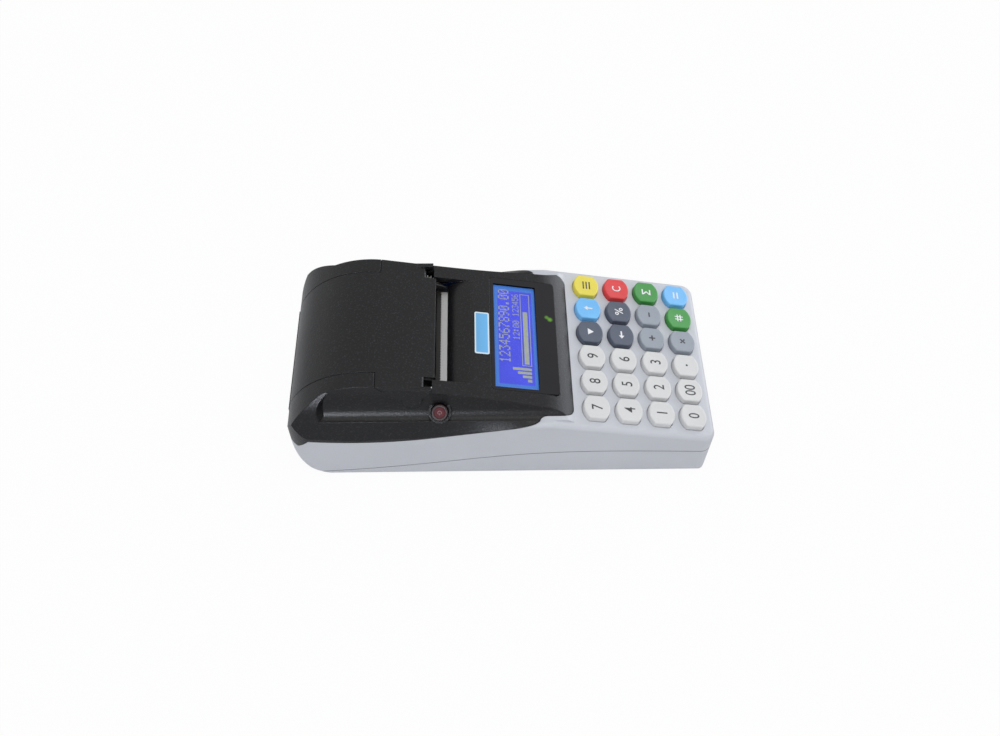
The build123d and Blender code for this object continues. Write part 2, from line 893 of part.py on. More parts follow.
def build_screws():
    screws = []
    for x, y in screw_places:
        head = Pos(x, y, floor_z + 1.6) * Cylinder(screw_head_radius, 1.6)
        shank = Pos(x, y, floor_z + 9.0) * Cylinder(screw_radius - 0.2, 13.4)
        screws.append(head + shank)
    return screws


def build_battery_door():
    door = span(
        -door_width / 2, door_width / 2,
        cell_centre_y - door_length / 2, cell_centre_y + door_length / 2,
        floor_z, floor_z + 1.2,
    )
    return door


def build_cells():
    cells = []
    for i in range(cell_count):
        x = (i - (cell_count - 1) / 2) * (2 * cell_radius + cell_gap)
        z = floor_z + 1.2 + 0.1 + cell_radius
        cell = Pos(x, cell_centre_y, z) * Rot(90, 0, 0) * Cylinder(cell_radius, cell_length - 1.6)
        cap = Pos(x, cell_centre_y, z) * Rot(90, 0, 0) * Cylinder(2.6, cell_length)
        cells.append(cell + cap)
    return cells


def build_key():
    base = -wall - key_seat_gap
    cap = extrude(deck_frame.offset(base) * key_outline(), amount=key_rise - base)
    top_face = cap.faces().sort_by(Axis((0, 0, 0), tuple(deck_frame.z_dir)))[-1]
    cap = chamfer(top_face.edges(), key_bevel)
    flange_face = Rectangle(key_width + 2 * key_flange, key_length + 2 * key_flange)
    flange_plane = deck_frame.offset(base - key_flange_thickness)
    flange = extrude(flange_plane * flange_face, amount=key_flange_thickness)
    return cap + flange


mat_top = -wall - key_seat_gap - key_flange_thickness - key_travel - 0.3


def build_mat():
    width = key_columns * key_pitch_x - 3
    length = key_rows * key_pitch_y - 3
    middle_z = mat_top - mat_pad - mat_thickness / 2
    mat = deck_frame.location * Pos(0, 0, middle_z) * Box(width, length, mat_thickness)
    for x, y in key_places():
        pad = Box(mat_pad_width, mat_pad_width, mat_pad)
        mat += deck_frame.location * Pos(x, y, mat_top - mat_pad / 2) * pad
    for x, y in screw_places:
        mat -= Pos(x, y, post_top) * Cylinder(screw_boss_radius, 20)
    return mat


def build_main_board():
    width = key_columns * key_pitch_x
    length = key_rows * key_pitch_y + 1
    z = mat_top - mat_pad - mat_thickness - board_thickness / 2
    board = deck_frame.location * Pos(0, 0, z) * Box(width, length, board_thickness)
    for x, y in screw_places:
        board -= Pos(x, y, post_top) * Cylinder(screw_boss_radius, 20)
    chip = deck_frame.location * Pos(12, 22, z - 1.6) * Box(14, 14, 1.6)
    return board + chip


def build_lens():
    lens_mid = (lens_rear_y + lens_front_y) / 2
    frame = crown_frame(lens_mid, lens_centre_x)
    length = (lens_rear_y - lens_front_y) / math.cos(math.radians(crown_slope))
    return extrude(
        frame.offset(-lens_thickness) * RectangleRounded(lens_width, length, lens_corner),
        amount=lens_thickness,
    )


def build_lcd():
    frame = crown_frame(lcd_centre_y, 0)
    glass = extrude(
        frame.offset(-lens_thickness - 0.1 - lcd_thickness) * Rectangle(lcd_width - 3, lcd_length - 3),
        amount=lcd_thickness,
    )
    board = extrude(
        frame.offset(-lens_thickness - 0.1 - lcd_thickness - board_thickness)
        * Rectangle(lcd_width, lcd_length + 4),
        amount=board_thickness,
    )
    return glass + board


def build_led():
    frame = crown_frame(led_y, led_x)
    lamp = extrude(frame.offset(-lens_thickness - 5.2) * Circle(led_radius), amount=5.0)
    return lamp


def build_plate():
    frame = crown_frame(plate_y, plate_x)
    return extrude(frame * RectangleRounded(plate_width, plate_length, 0.8), amount=plate_thickness)


def build_button():
    stem = extrude(button_axis.offset(-button_length - 2) * Circle(button_radius), amount=button_length + 2)
    stem = chamfer(stem.edges().sort_by(Axis(button_axis.origin, button_axis.z_dir))[-1], 0.8)
    return stem


def build_power_switch():
    body = button_axis.location * Pos(0, 0, -button_length - 2 - button_travel - 0.2 - 2) * Box(6, 6, 4)
    cheek = -frame_x0 - frame_wall
    board = span(cheek - 1.2, cheek, button_y - 5.1, button_y + 4.9, button_z - 17.5, button_z - 5.0)
    return (body - span(cheek, 0, 0, 60, 0, 80)) + board


def build_tear_bar():
    _, end = guide_profile(guide_wall)
    y0 = end[0] + 0.1
    z = end[1] + 0.3
    y1 = y0 + tear_bar_width
    bar_body = span(-tear_bar_half_length, tear_bar_half_length, y0, y1, z - tear_bar_thickness, z)
    count = int(2 * tear_bar_half_length / tear_tooth_pitch)
    start = -count * tear_tooth_pitch / 2
    points = [(start, y1 - 0.3)]
    for i in range(count):
        points.append((start + (i + 0.5) * tear_tooth_pitch, y1 + tear_tooth_depth))
        points.append((start + (i + 1) * tear_tooth_pitch, y1))
    points.append((-start, y1 - 0.3))
    teeth = plan_prism(outline(*points), z - tear_bar_thickness, z)
    return bar_body + teeth


head_face_y = platen_y - platen_radius - head_gap


def build_head():
    ceramic = span(
        -28.6, 28.6, head_face_y - head_thickness, head_face_y,
        platen_height - head_height / 2 - 1, platen_height + head_height / 2 - 4,
    )
    sink = span(
        -28.6, 28.6, head_face_y - head_thickness - 2.0, head_face_y - head_thickness,
        platen_height - head_height - 2, platen_height + head_height / 2 - 4,
    )
    return ceramic + sink


frame_x0 = platen_length / 2 + 0.4 + ear_thickness + frame_side_gap


def build_print_frame():
    cheek = side_prism(
        outline(
            (platen_y - 21.2, platen_height - 26),
            (platen_y + 1.8, platen_height - 26),
            (platen_y + 4.6, platen_height - 10),
            (platen_y + 4.6, platen_height + 1.5),
            (platen_y - 3.2, platen_height + 5),
            (platen_y - 8.2, platen_height + 2.5),
            (platen_y - 13.2, platen_height - 1.5),
            (platen_y - 21.2, platen_height - 8),
        ),
        frame_x0,
        frame_x0 + frame_wall,
    )
    notch = side_prism(
        outline(
            (platen_y - bush_radius - 0.3, platen_height),
            (platen_y + bush_radius + 0.3, platen_height),
            (platen_y + bush_radius + 4.0, platen_height + 9),
            (platen_y - bush_radius + 0.6, platen_height + 9),
        )
        + Pos(platen_y, platen_height) * Circle(bush_radius + 0.3),
        frame_x0 - 1,
        frame_x0 + frame_wall + 1,
    )
    cheek -= notch
    frame = both_sides(cheek)
    tie_x = frame_x0 + 0.4
    foot_z = platen_height - 27.4
    frame += span(-tie_x, tie_x, platen_y - 21.2, platen_y + 1.8, foot_z, foot_z + 1.6)
    frame += span(-tie_x, tie_x, platen_y - 11.2, platen_y - 9.8, platen_height - 26, platen_height - 9)
    idler = idler_place()
    frame -= bar(stud_radius, 0, 60, idler[0], idler[1])
    pinion = pinion_place()
    frame -= bar(stud_radius + 0.4, 10, 60, pinion[0], pinion[1])
    frame -= bar(motor_radius + 0.3, frame_x0 - motor_length - 1, frame_x0 - 0.01, pinion[0], pinion[1])
    frame -= span(
        frame_x0 - 2.0, frame_x0 - 0.01, pinion[0] - 2.8, pinion[0] + 2.8,
        pinion[1] - motor_radius - 3.3, pinion[1] + motor_radius + 3.3,
    )
    return frame


def idler_place():
    distance = gear_module * (platen_teeth + idler_teeth) / 2 + 0.06
    angle = math.radians(idler_direction)
    return platen_y + distance * math.cos(angle), platen_height + distance * math.sin(angle)


def pinion_place():
    distance = gear_module * (idler_teeth + pinion_teeth) / 2 + 0.06
    angle = math.radians(pinion_direction)
    y, z = idler_place()
    return y + distance * math.cos(angle), z + distance * math.sin(angle)


gear_x = frame_x0 + frame_wall + 0.4


def build_gears():
    idler_y, idler_z = idler_place()
    pinion_y, pinion_z = pinion_place()
    platen_turn = idler_direction
    idler_turn = idler_direction + 180 + 180 / idler_teeth
    platen = place_gear(gear(platen_teeth, gear_width), gear_x, platen_y, platen_height, platen_turn)
    idler = place_gear(gear(idler_teeth, gear_width), gear_x, idler_y, idler_z, idler_turn)
    steps = (pinion_direction - idler_turn) / (360 / idler_teeth)
    nearest = idler_turn + round(steps) * 360 / idler_teeth
    offset = pinion_direction - nearest
    pinion_turn = pinion_direction + 180 + 180 / pinion_teeth + offset * idler_teeth / pinion_teeth
    pinion = place_gear(gear(pinion_teeth, gear_width), gear_x, pinion_y, pinion_z, pinion_turn)
    platen -= bar(platen_shaft_radius, 0, 60, platen_y, platen_height)
    idler -= bar(stud_radius + shaft_clearance, 0, 60, idler_y, idler_z)
    pinion_shaft = bar(1.0, frame_x0 - 0.3, gear_x + 0.1, pinion_y, pinion_z)
    return platen, idler, pinion + pinion_shaft


def build_idler_stud():
    y, z = idler_place()
    stud = bar(stud_radius, frame_x0, gear_x + gear_width + 0.6, y, z)
    stud += bar(stud_radius + 0.9, gear_x + gear_width + 0.2, gear_x + gear_width + 0.8, y, z)
    return stud


def build_motor():
    y, z = pinion_place()
    motor = bar(motor_radius, frame_x0 - motor_length, frame_x0 - 0.35, y, z)
    motor -= bar(1.4, frame_x0 - 2, frame_x0 + 2, y, z)
    reach = motor_radius + 3
    flange = span(frame_x0 - 1.6, frame_x0 - 0.35, y - 2.5, y + 2.5, z - reach, z + reach)
    flange -= bar(motor_radius - 1, frame_x0 - 3, frame_x0 + 3, y, z)
    return motor + flange


def build_platen():
    half = platen_length / 2
    rubber = bar(platen_radius, -half, half, platen_y, platen_height)
    rubber -= bar(platen_shaft_radius, -60, 60, platen_y, platen_height)
    shaft = bar(platen_shaft_radius, -frame_x0 - frame_wall, gear_x + gear_width, platen_y, platen_height)
    bushes = []
    for sign in (-1, 1):
        x0 = platen_length / 2 + 0.2
        x1 = frame_x0 + frame_wall
        low, high = (x0, x1) if sign > 0 else (-x1, -x0)
        bush = bar(bush_radius, low, high, platen_y, platen_height)
        bush -= bar(platen_shaft_radius + shaft_clearance, -60, 60, platen_y, platen_height)
        bushes.append(bush)
    return rubber, shaft, bushes


def build_tub():
    half = rail_inner - tub_side - 0.1
    centre = (crown_centre_y, tub_centre_height)
    outer_tub = bar(tub_radius + tub_wall, -half - tub_side, half + tub_side, *centre)
    inner_tub = bar(tub_radius, -half, half, *centre)
    tub = outer_tub - inner_tub
    tub -= span(-60, 60, 0, 120, tub_centre_height + 10, 90)
    tub -= span(-60, 60, 0, centre[0] - tub_radius + 3, tub_centre_height + 4, 90)
    foot_z = floor_z + wall
    for y in (-8, 8):
        foot_y = centre[0] + y
        tub += span(-26, 26, foot_y - 0.8, foot_y + 0.8, foot_z, tub_centre_height - tub_radius + 0.5)
    return tub


def build_roll():
    y = crown_centre_y
    z = tub_centre_height - tub_radius + roll_radius + roll_gap
    half = roll_width / 2
    paper = bar(roll_radius, -half, half, y, z) - bar(roll_core_radius, -60, 60, y, z)
    core = bar(roll_core_radius, -half, half, y, z) - bar(roll_bore_radius, -60, 60, y, z)
    return paper, core


def build_sockets():
    z = socket_z
    y1 = socket_face_y - 1.2
    y0 = y1 - socket_depth
    jack = span(socket_x - 5, socket_x + 5, y0, y1, z - 5, z + 5)
    jack -= Pos(socket_x, y1, z) * Rot(90, 0, 0) * Cylinder(jack_bore_radius, 16)
    jack += Pos(socket_x, y0, z) * Rot(90, 0, 0) * Cylinder(5, 1.0)
    jack += Pos(socket_x, y0 + 4, z) * Rot(90, 0, 0) * Cylinder(jack_pin_radius, 8)
    data = span(-socket_x - 5.5, -socket_x + 5.5, y0, y1, z - 5, z + 5)
    data -= span(-socket_x - 3.6, -socket_x + 3.6, y0 + 2, y1 + 1, z - 3.0, z + 3.0)
    return jack, data


def build_memory_block():
    return span(-28, 28, lens_front_y + 3.6, lens_front_y + 35.6, floor_z + wall, floor_z + wall + 11)


def build_buzzer():
    frame = deck_frame.location
    z = mat_top - mat_pad - mat_thickness - board_thickness
    return frame * Pos(-30, 22, z - 1.75) * Cylinder(4.5, 3.5)


# ---------------------------------------------------------------- all nodes
nodes = {}
nodes["bottom_tray"] = build_tray()
nodes["main_case"] = build_case()
nodes["printer_hood"] = build_hood()
nodes["paper_lid"] = build_lid()
nodes["display_lens"] = build_lens()
nodes["lcd_module"] = build_lcd()
nodes["status_led"] = build_led()
nodes["name_plate"] = build_plate()
nodes["tear_bar"] = build_tear_bar()
nodes["power_button"] = build_button()
nodes["power_switch"] = build_power_switch()
nodes["hinge_pin"] = bar(hinge_pin_radius, -rail_inner - 1.5, rail_inner + 1.5, hinge_y, hinge_height)
nodes["roll_tub"] = build_tub()
nodes["paper_roll"], nodes["roll_core"] = build_roll()
nodes["print_head"] = build_head()
nodes["print_frame"] = build_print_frame()
nodes["stepper_motor"] = build_motor()
nodes["platen_rubber"], nodes["platen_shaft"], platen_bushes = build_platen()
nodes["platen_gear"], nodes["idler_gear"], nodes["motor_pinion"] = build_gears()
nodes["idler_stud"] = build_idler_stud()
nodes["main_board"] = build_main_board()
nodes["keypad_mat"] = build_mat()
nodes["memory_block"] = build_memory_block()
nodes["buzzer"] = build_buzzer()
nodes["battery_door"] = build_battery_door()
nodes["power_inlet"], nodes["data_socket"] = build_sockets()

key_names = [
    "key_7", "key_8", "key_9", "key_credit", "key_up", "key_mode",
    "key_4", "key_5", "key_6", "key_return", "key_percent", "key_clear",
    "key_1", "key_2", "key_3", "key_plus", "key_minus", "key_subtotal",
    "key_0", "key_00", "key_point", "key_times", "key_code", "key_total",
]
key_blank = build_key()
for name, (x, y) in zip(key_names, key_places()):
    nodes[name] = deck_frame.location * Pos(x, y, 0) * deck_frame.location.inverse() * key_blank

groups = {
    "platen_bushes": platen_bushes,
    "rubber_feet": build_feet(),
    "case_screws": build_screws(),
    "battery_cells": build_cells(),
}

os.makedirs("parts", exist_ok=True)
for name, part in nodes.items():
    export_step(part, f"parts/{name}.step")
for name, members in groups.items():
    export_step(Compound(children=members), f"parts/{name}.step")
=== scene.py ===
"""Finishes and fine pieces of a portable ticket register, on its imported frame."""
import json
import math

import bpy
from bpy.props import FloatProperty, FloatVectorProperty, PointerProperty
from mathutils import Matrix, Vector


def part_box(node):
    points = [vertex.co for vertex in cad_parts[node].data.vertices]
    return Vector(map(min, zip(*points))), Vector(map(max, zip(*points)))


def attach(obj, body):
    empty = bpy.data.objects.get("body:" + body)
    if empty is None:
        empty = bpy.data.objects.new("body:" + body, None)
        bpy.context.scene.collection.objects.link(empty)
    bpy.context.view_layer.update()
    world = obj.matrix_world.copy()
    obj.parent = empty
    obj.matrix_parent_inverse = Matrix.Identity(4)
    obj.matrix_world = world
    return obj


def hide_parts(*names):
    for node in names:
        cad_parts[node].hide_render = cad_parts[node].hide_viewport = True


bl_info = {
    "name": "Ticket register finishes",
    "version": (1, 0, 0),
    "blender": (4, 5, 0),
    "location": "View3D > Sidebar > Register",
    "description": "Key caps, legends, display, finishes and stage of a portable ticket register",
    "category": "Object",
}

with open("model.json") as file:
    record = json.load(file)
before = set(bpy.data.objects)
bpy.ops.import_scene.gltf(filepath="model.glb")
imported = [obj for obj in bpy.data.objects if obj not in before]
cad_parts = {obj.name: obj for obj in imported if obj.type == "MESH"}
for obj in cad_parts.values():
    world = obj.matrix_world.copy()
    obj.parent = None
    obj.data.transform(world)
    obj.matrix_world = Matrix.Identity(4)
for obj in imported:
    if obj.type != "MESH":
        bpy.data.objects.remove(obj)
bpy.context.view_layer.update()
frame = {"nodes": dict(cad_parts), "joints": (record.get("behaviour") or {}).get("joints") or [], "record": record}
MM = 0.001

KEY_ROWS = (
    ("key_7", "key_8", "key_9", "key_credit", "key_up", "key_mode"),
    ("key_4", "key_5", "key_6", "key_return", "key_percent", "key_clear"),
    ("key_1", "key_2", "key_3", "key_plus", "key_minus", "key_subtotal"),
    ("key_0", "key_00", "key_point", "key_times", "key_code", "key_total"),
)
KEYS = [name for row in KEY_ROWS for name in row]
SLOT_OF = {part["node"]: part["material_slot"] for part in frame["record"]["subparts"]}

# a key cap, as the frame's keys have it
KEY_HALF_WIDTH = 6.4 * MM
KEY_HALF_LENGTH = 6.6 * MM
KEY_HALF_SIDE = 3.8 * MM
KEY_CORNER = 1.4 * MM
KEY_FLANGE = 0.8 * MM
KEY_FLANGE_TOP = -5.3 * MM
KEY_UNDERSIDE = -6.2 * MM
KEY_EDGE_STEPS = 7
KEY_DISH_RINGS = (0.93, 0.8, 0.6, 0.4, 0.2)
KEY_DISH_REACH = (5.4 * MM, 5.6 * MM)

# the power button: insets from its radius and depths below its top, in millimetres
BUTTON_RADIUS = 3.9 * MM
BUTTON_ROUND = 0.7 * MM
BUTTON_ROUND_STEPS = 6
BUTTON_LIP = ((1.0, 0.03), (1.15, 0.14), (1.2, 0.4))
BUTTON_DISC = ((1.25, 0.4), (1.3, 0.16), (1.45, 0.08), (2.2, 0.13), (3.2, 0.17))

# the display: its middle, the clear part of the window and the lit field, as half sizes
DISPLAY_Y = -7.35 * MM
CLEAR_X, CLEAR_Y = 31.3 * MM, 10.65 * MM
FIELD_X, FIELD_Y = 28.2 * MM, 8.4 * MM
FIELD_BLEND = 0.5 * MM
FRAME_LINE = 0.35 * MM

# glow of the lamp in the window: x, y and radius in millimetres, and strength
GLOW_SPOTS = ((13.0, -23.3, 0.75, 0.8), (11.8, -24.9, 0.9, 1.0))

BROAD = 0.03  # size in metres of the slow unevenness of a moulding

# the parting line's shadow: its height over the tray's rim, where it is full and where it ends
SEAM_LIFT = 0.1 * MM
SEAM_CORE, SEAM_REACH = 0.12 * MM, 0.42 * MM
SEAM_SHADE = 0.75

# legends: capitals as a share of the font's size, how much their strokes are thickened, the
# heights of letters and marks as shares of a digit's, and how far they stand off the key
CAPITAL = 0.72
THICKEN = 0.008
LETTER_SHARE = 0.84
MARK_SHARE = 0.86
INK_LIFT = 0.02 * MM

# ------------------------------------------------------------------ places read from the frame


def joint_axis(name):
    """The direction of a joint as the record gives it."""
    for joint in frame["joints"]:
        if joint["name"] == name:
            return Vector(joint["axis"]).normalized()
    raise RuntimeError("no joint " + name)


def flat_place(node, normal):
    """A matrix on the outermost face of a node: x across, y up the slope, z along the normal."""
    normal = normal.normalized()
    across = Vector((1.0, 0.0, 0.0))
    across = (across - across.dot(normal) * normal).normalized()
    along = normal.cross(across)
    corners = [v.co for v in frame["nodes"][node].data.vertices]
    top = max(v.dot(normal) for v in corners)
    face = [v for v in corners if v.dot(normal) > top - 0.02 * MM]
    xs = [v.dot(across) for v in face]
    ys = [v.dot(along) for v in face]
    centre = across * (min(xs) + max(xs)) / 2 + along * (min(ys) + max(ys)) / 2 + normal * top
    turn = Matrix((across, along, normal)).transposed().to_4x4()
    return Matrix.Translation(centre) @ turn


def key_place(name):
    """The matrix of a key's top."""
    return flat_place(name, -joint_axis(name + "_press"))


def slope_normal(node):
    """The upward normal of a node's largest flat."""
    best, area = Vector((0, 0, 1)), 0.0
    sums = {}
    for polygon in frame["nodes"][node].data.polygons:
        if polygon.normal.z > 0.5:
            key = tuple(round(c, 3) for c in polygon.normal)
            sums[key] = sums.get(key, 0.0) + polygon.area
    for key, total in sums.items():
        if total > area:
            best, area = Vector(key), total
    return best.normalized()


def finish_of(node):
    """The material that a node carries now."""
    return frame["nodes"][node].material_slots[0].material


def seam_points():
    """The parting line, from the tray's outer rim: (y, z) from front to rear."""
    _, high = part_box("bottom_tray")
    step = 4 * MM
    tops = {}
    for vertex in frame["nodes"]["bottom_tray"].data.vertices:
        if abs(vertex.co.x) > high.x - 0.05 * MM:
            y = round(vertex.co.y / step)
            if y not in tops or vertex.co.z > tops[y][1]:
                tops[y] = (vertex.co.y, vertex.co.z)
    return [tops[y] for y in sorted(tops)]


# ------------------------------------------------------------------ meshes


def place_piece(name, mesh, body):
    """An object at the origin that rides on a body."""
    piece = bpy.data.objects.new(name, mesh)
    bpy.context.scene.collection.objects.link(piece)
    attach(piece, body)
    return piece


def new_piece(name, points, faces, material, body, smooth=35.0):
    """A piece made of points and faces, smooth below an angle in degrees."""
    mesh = bpy.data.meshes.new(name)
    mesh.from_pydata([tuple(p) for p in points], [], faces)
    mesh.validate()
    mesh.materials.append(material)
    if smooth:
        mesh.shade_smooth()
        mesh.set_sharp_from_angle(angle=math.radians(smooth))
    return place_piece(name, mesh, body)


def plain_mesh(source, name):
    """The evaluated form of an object as a mesh of its own."""
    graph = bpy.context.evaluated_depsgraph_get()
    mesh = bpy.data.meshes.new_from_object(source.evaluated_get(graph), depsgraph=graph)
    mesh.name = name
    return mesh


def rings_to_faces(count, rings):
    """Quads between rings of count points each, and a flat face at both ends."""
    faces = []
    for r in range(rings - 1):
        for i in range(count):
            j = (i + 1) % count
            faces.append((r * count + i, r * count + j, (r + 1) * count + j, (r + 1) * count + i))
    faces.append(tuple(reversed(range(count))))
    faces.append(tuple((rings - 1) * count + i for i in range(count)))
    return faces


def quarter_round(radius, steps, height=1.0):
    """Insets and heights up a rounded edge, from its side to its top at height 0."""
    turns = [math.radians(90 * i / steps) for i in range(1, steps + 1)]
    return [(radius * (1 - math.cos(a)), -radius * height * (1 - math.sin(a))) for a in turns]


def lathe(name, profile, place, material, body, count=64):
    """A turned piece: profile is (radius, height) from the low end to the middle of the top."""
    points = []
    for radius, height in profile:
        for i in range(count):
            a = 2 * math.pi * i / count
            points.append(place @ Vector((radius * math.cos(a), radius * math.sin(a), height)))
    faces = rings_to_faces(count, len(profile))
    return new_piece(name, points, faces, material, body)


def shapes_mesh(name, shapes, scale=1.0):
    """A flat mesh at height 0 of outlines, each a list of (x, y)."""
    points, faces = [], []
    for shape in shapes:
        faces.append(tuple(range(len(points), len(points) + len(shape))))
        points += [(x * scale, y * scale, 0.0) for x, y in shape]
    mesh = bpy.data.meshes.new(name)
    mesh.from_pydata(points, [], faces)
    return mesh


def plates(name, shapes, place, material, body, lift=0.0):
    """Flat shapes as one piece, lifted above the plane of place."""
    mesh = shapes_mesh(name, shapes)
    mesh.transform(place @ Matrix.Translation((0.0, 0.0, lift)))
    mesh.validate()
    mesh.materials.append(material)
    return place_piece(name, mesh, body)


# ------------------------------------------------------------------ outlines


def bar_shape(x0, y0, x1, y1, width):
    """A straight stroke."""
    line = Vector((x1 - x0, y1 - y0)).normalized() * width / 2
    side = Vector((-line.y, line.x))
    return [(x0 - side.x, y0 - side.y), (x1 - side.x, y1 - side.y),
            (x1 + side.x, y1 + side.y), (x0 + side.x, y0 + side.y)]


def box_shape(x0, y0, x1, y1):
    """A rectangle given by two corners."""
    return [(x0, y0), (x1, y0), (x1, y1), (x0, y1)]


def disc_shape(x, y, radius, count=24):
    """A round dot."""
    turns = [2 * math.pi * i / count for i in range(count)]
    return [(x + radius * math.cos(a), y + radius * math.sin(a)) for a in turns]


def ring_shapes(x, y, radius, half, first=0.0, sweep=360.0, steps=20):
    """Quads along a ring or part of one; half is half the width of its line."""
    shapes = []
    low, high = radius - half, radius + half
    for i in range(steps):
        a0 = math.radians(first + sweep * i / steps)
        a1 = math.radians(first + sweep * (i + 1) / steps)
        shapes.append([(x + low * math.cos(a0), y + low * math.sin(a0)),
                       (x + high * math.cos(a0), y + high * math.sin(a0)),
                       (x + high * math.cos(a1), y + high * math.sin(a1)),
                       (x + low * math.cos(a1), y + low * math.sin(a1))])
    return shapes


def frame_shapes(x0, y0, x1, y1, line):
    """The four sides of a rectangular frame."""
    return [box_shape(x0, y0, x1, y0 + line), box_shape(x0, y1 - line, x1, y1),
            box_shape(x0, y0 + line, x0 + line, y1 - line),
            box_shape(x1 - line, y0 + line, x1, y1 - line)]


def barrel_outline(half_width, side, half_length, corner, steps=10):
    """Points and outward normals of a key: flat sides, bowed ends, rounded corners."""
    centre_y = (half_length ** 2 - half_width ** 2 - side ** 2) / (2 * (half_length - side))
    radius = half_length - centre_y
    corner_x = half_width - corner
    corner_y = centre_y + math.sqrt((radius - corner) ** 2 - corner_x ** 2)
    end_angle = math.atan2(corner_y - centre_y, corner_x)
    quarter = []
    for i in range(steps):
        y = corner_y * i / steps
        quarter.append(((half_width, y), (1.0, 0.0)))
    for i in range(steps):
        a = end_angle * i / steps
        normal = (math.cos(a), math.sin(a))
        quarter.append(((corner_x + corner * normal[0], corner_y + corner * normal[1]), normal))
    for i in range(steps):
        a = end_angle + (math.pi / 2 - end_angle) * i / steps
        normal = (math.cos(a), math.sin(a))
        quarter.append(((radius * normal[0], centre_y + radius * normal[1]), normal))
    right = quarter + [((0.0, half_length), (0.0, 1.0))]
    left = [((-x, y), (-nx, ny)) for (x, y), (nx, ny) in reversed(quarter)]
    upper = right + left
    lower = [((-x, -y), (-nx, -ny)) for (x, y), (nx, ny) in upper[1:-1]]
    return upper + lower


# ------------------------------------------------------------------ node trees


def feed(tree, socket, value):
    """Link a socket to another one, or set its value."""
    if isinstance(value, Level):
        value = value.socket
    if isinstance(value, bpy.types.NodeSocket):
        tree.links.new(value, socket)
    elif socket.type == "RGBA" and len(value) == 3:
        socket.default_value = tuple(value) + (1.0,)
    else:
        socket.default_value = value


def add_node(tree, kind, settings=None, values=None):
    """A node with its settings, and the values or links of its sockets."""
    node = tree.nodes.new(kind)
    for key, value in (settings or {}).items():
        setattr(node, key, value)
    for key, value in (values or {}).items():
        feed(tree, node.inputs[key], value)
    return node


class Level:
    """A number that varies over a surface. Arithmetic on it adds Math nodes."""

    def __init__(self, tree, socket):
        self.tree = tree
        self.socket = socket

    def _math(self, operation, first, second=0.0, clamp=False):
        node = add_node(self.tree, "ShaderNodeMath",
                        {"operation": operation, "use_clamp": clamp}, {0: first, 1: second})
        return Level(self.tree, node.outputs[0])

    def __add__(self, other):
        return self._math("ADD", self, other)

    __radd__ = __add__

    def __sub__(self, other):
        return self._math("SUBTRACT", self, other)

    def __rsub__(self, other):
        return self._math("SUBTRACT", other, self)

    def __mul__(self, other):
        return self._math("MULTIPLY", self, other)

    __rmul__ = __mul__

    def __truediv__(self, other):
        return self._math("DIVIDE", self, other)

    def __rtruediv__(self, other):
        return self._math("DIVIDE", other, self)

    def __pow__(self, other):
        return self._math("POWER", self, other)

    def __abs__(self):
        return self._math("ABSOLUTE", self)

    def under(self, limit):
        """1 below a limit, 0 above it."""
        return self._math("LESS_THAN", self, limit)

    def or_more(self, other):
        """The larger of two."""
        return self._math("MAXIMUM", self, other)

    def sine(self):
        """The sine of an angle in radians."""
        return self._math("SINE", self)

    def clamped(self):
        """Kept between 0 and 1."""
        return self._math("ADD", self, 0.0, clamp=True)

    def ramp(self, low, high):
        """0 at low, 1 at high, eased between."""
        node = add_node(self.tree, "ShaderNodeMapRange", {"interpolation_type": "SMOOTHSTEP"},
                        {"Value": self, "From Min": low, "From Max": high})
        return Level(self.tree, node.outputs[0])


class Finish:
    """One procedural material in the making."""

    def __init__(self, name, roughness=0.5, metallic=0.0, **constants):
        self.material = bpy.data.materials.new(name)
        self.material.use_nodes = True
        self.tree = self.material.node_tree
        self.tree.nodes.clear()
        values = {"Roughness": roughness, "Metallic": metallic}
        for key, value in constants.items():
            values[key.replace("_", " ")] = value
        self.shader = self.node("ShaderNodeBsdfPrincipled", {}, values)
        surface = {"Surface": self.shader.outputs[0]}
        self.output = self.node("ShaderNodeOutputMaterial", {}, surface)
        self.place = self.node("ShaderNodeTexCoord").outputs["Object"]

    def node(self, kind, settings=None, values=None):
        """A node in this material."""
        return add_node(self.tree, kind, settings, values)

    def set(self, name, value):
        """Feed an input of the shader."""
        feed(self.tree, self.shader.inputs[name], value)

    def axes(self):
        """x, y and z of the surface point, in metres."""
        node = self.node("ShaderNodeSeparateXYZ", {}, {0: self.place})
        return [Level(self.tree, node.outputs[i]) for i in range(3)]

    def stretched(self, x, y, z):
        """The surface point with each axis scaled."""
        node = self.node("ShaderNodeVectorMath", {"operation": "MULTIPLY"},
                         {0: self.place, 1: (x, y, z)})
        return node.outputs[0]

    def noise(self, size, detail=2.0, place=None):
        """Noise whose blobs are about size metres."""
        values = {"Vector": place or self.place, "Scale": 1.0 / size,
                  "Detail": detail, "Roughness": 0.5}
        return Level(self.tree, self.node("ShaderNodeTexNoise", {}, values).outputs["Fac"])

    def blend(self, factor, first, second):
        """A colour between two, by a factor."""
        node = self.node("ShaderNodeMix", {"data_type": "RGBA"}, {0: factor, 6: first, 7: second})
        return node.outputs[2]

    def bump(self, height, depth, edge=0.0):
        """Height, 0 to 1, as relief of depth metres. Edge is the radius that softens corners."""
        values = {"Height": height, "Distance": depth, "Strength": 1.0}
        if edge:
            values["Normal"] = self.node("ShaderNodeBevel", {"samples": 4},
                                         {"Radius": edge}).outputs[0]
        self.set("Normal", self.node("ShaderNodeBump", {}, values).outputs[0])

    def glow(self, colour, strength):
        """Light of its own."""
        self.set("Emission Color", colour)
        self.set("Emission Strength", strength)


def shade(colour, factor):
    """A colour made lighter or darker."""
    return tuple(min(1.0, c * factor) for c in colour)


# ------------------------------------------------------------------ finishes


def uneven_tone(fine, broad):
    """0 to 1: a slow unevenness with a fine grain on it."""
    return ((fine - 0.5) * 0.5 + broad).ramp(0.25, 0.75)


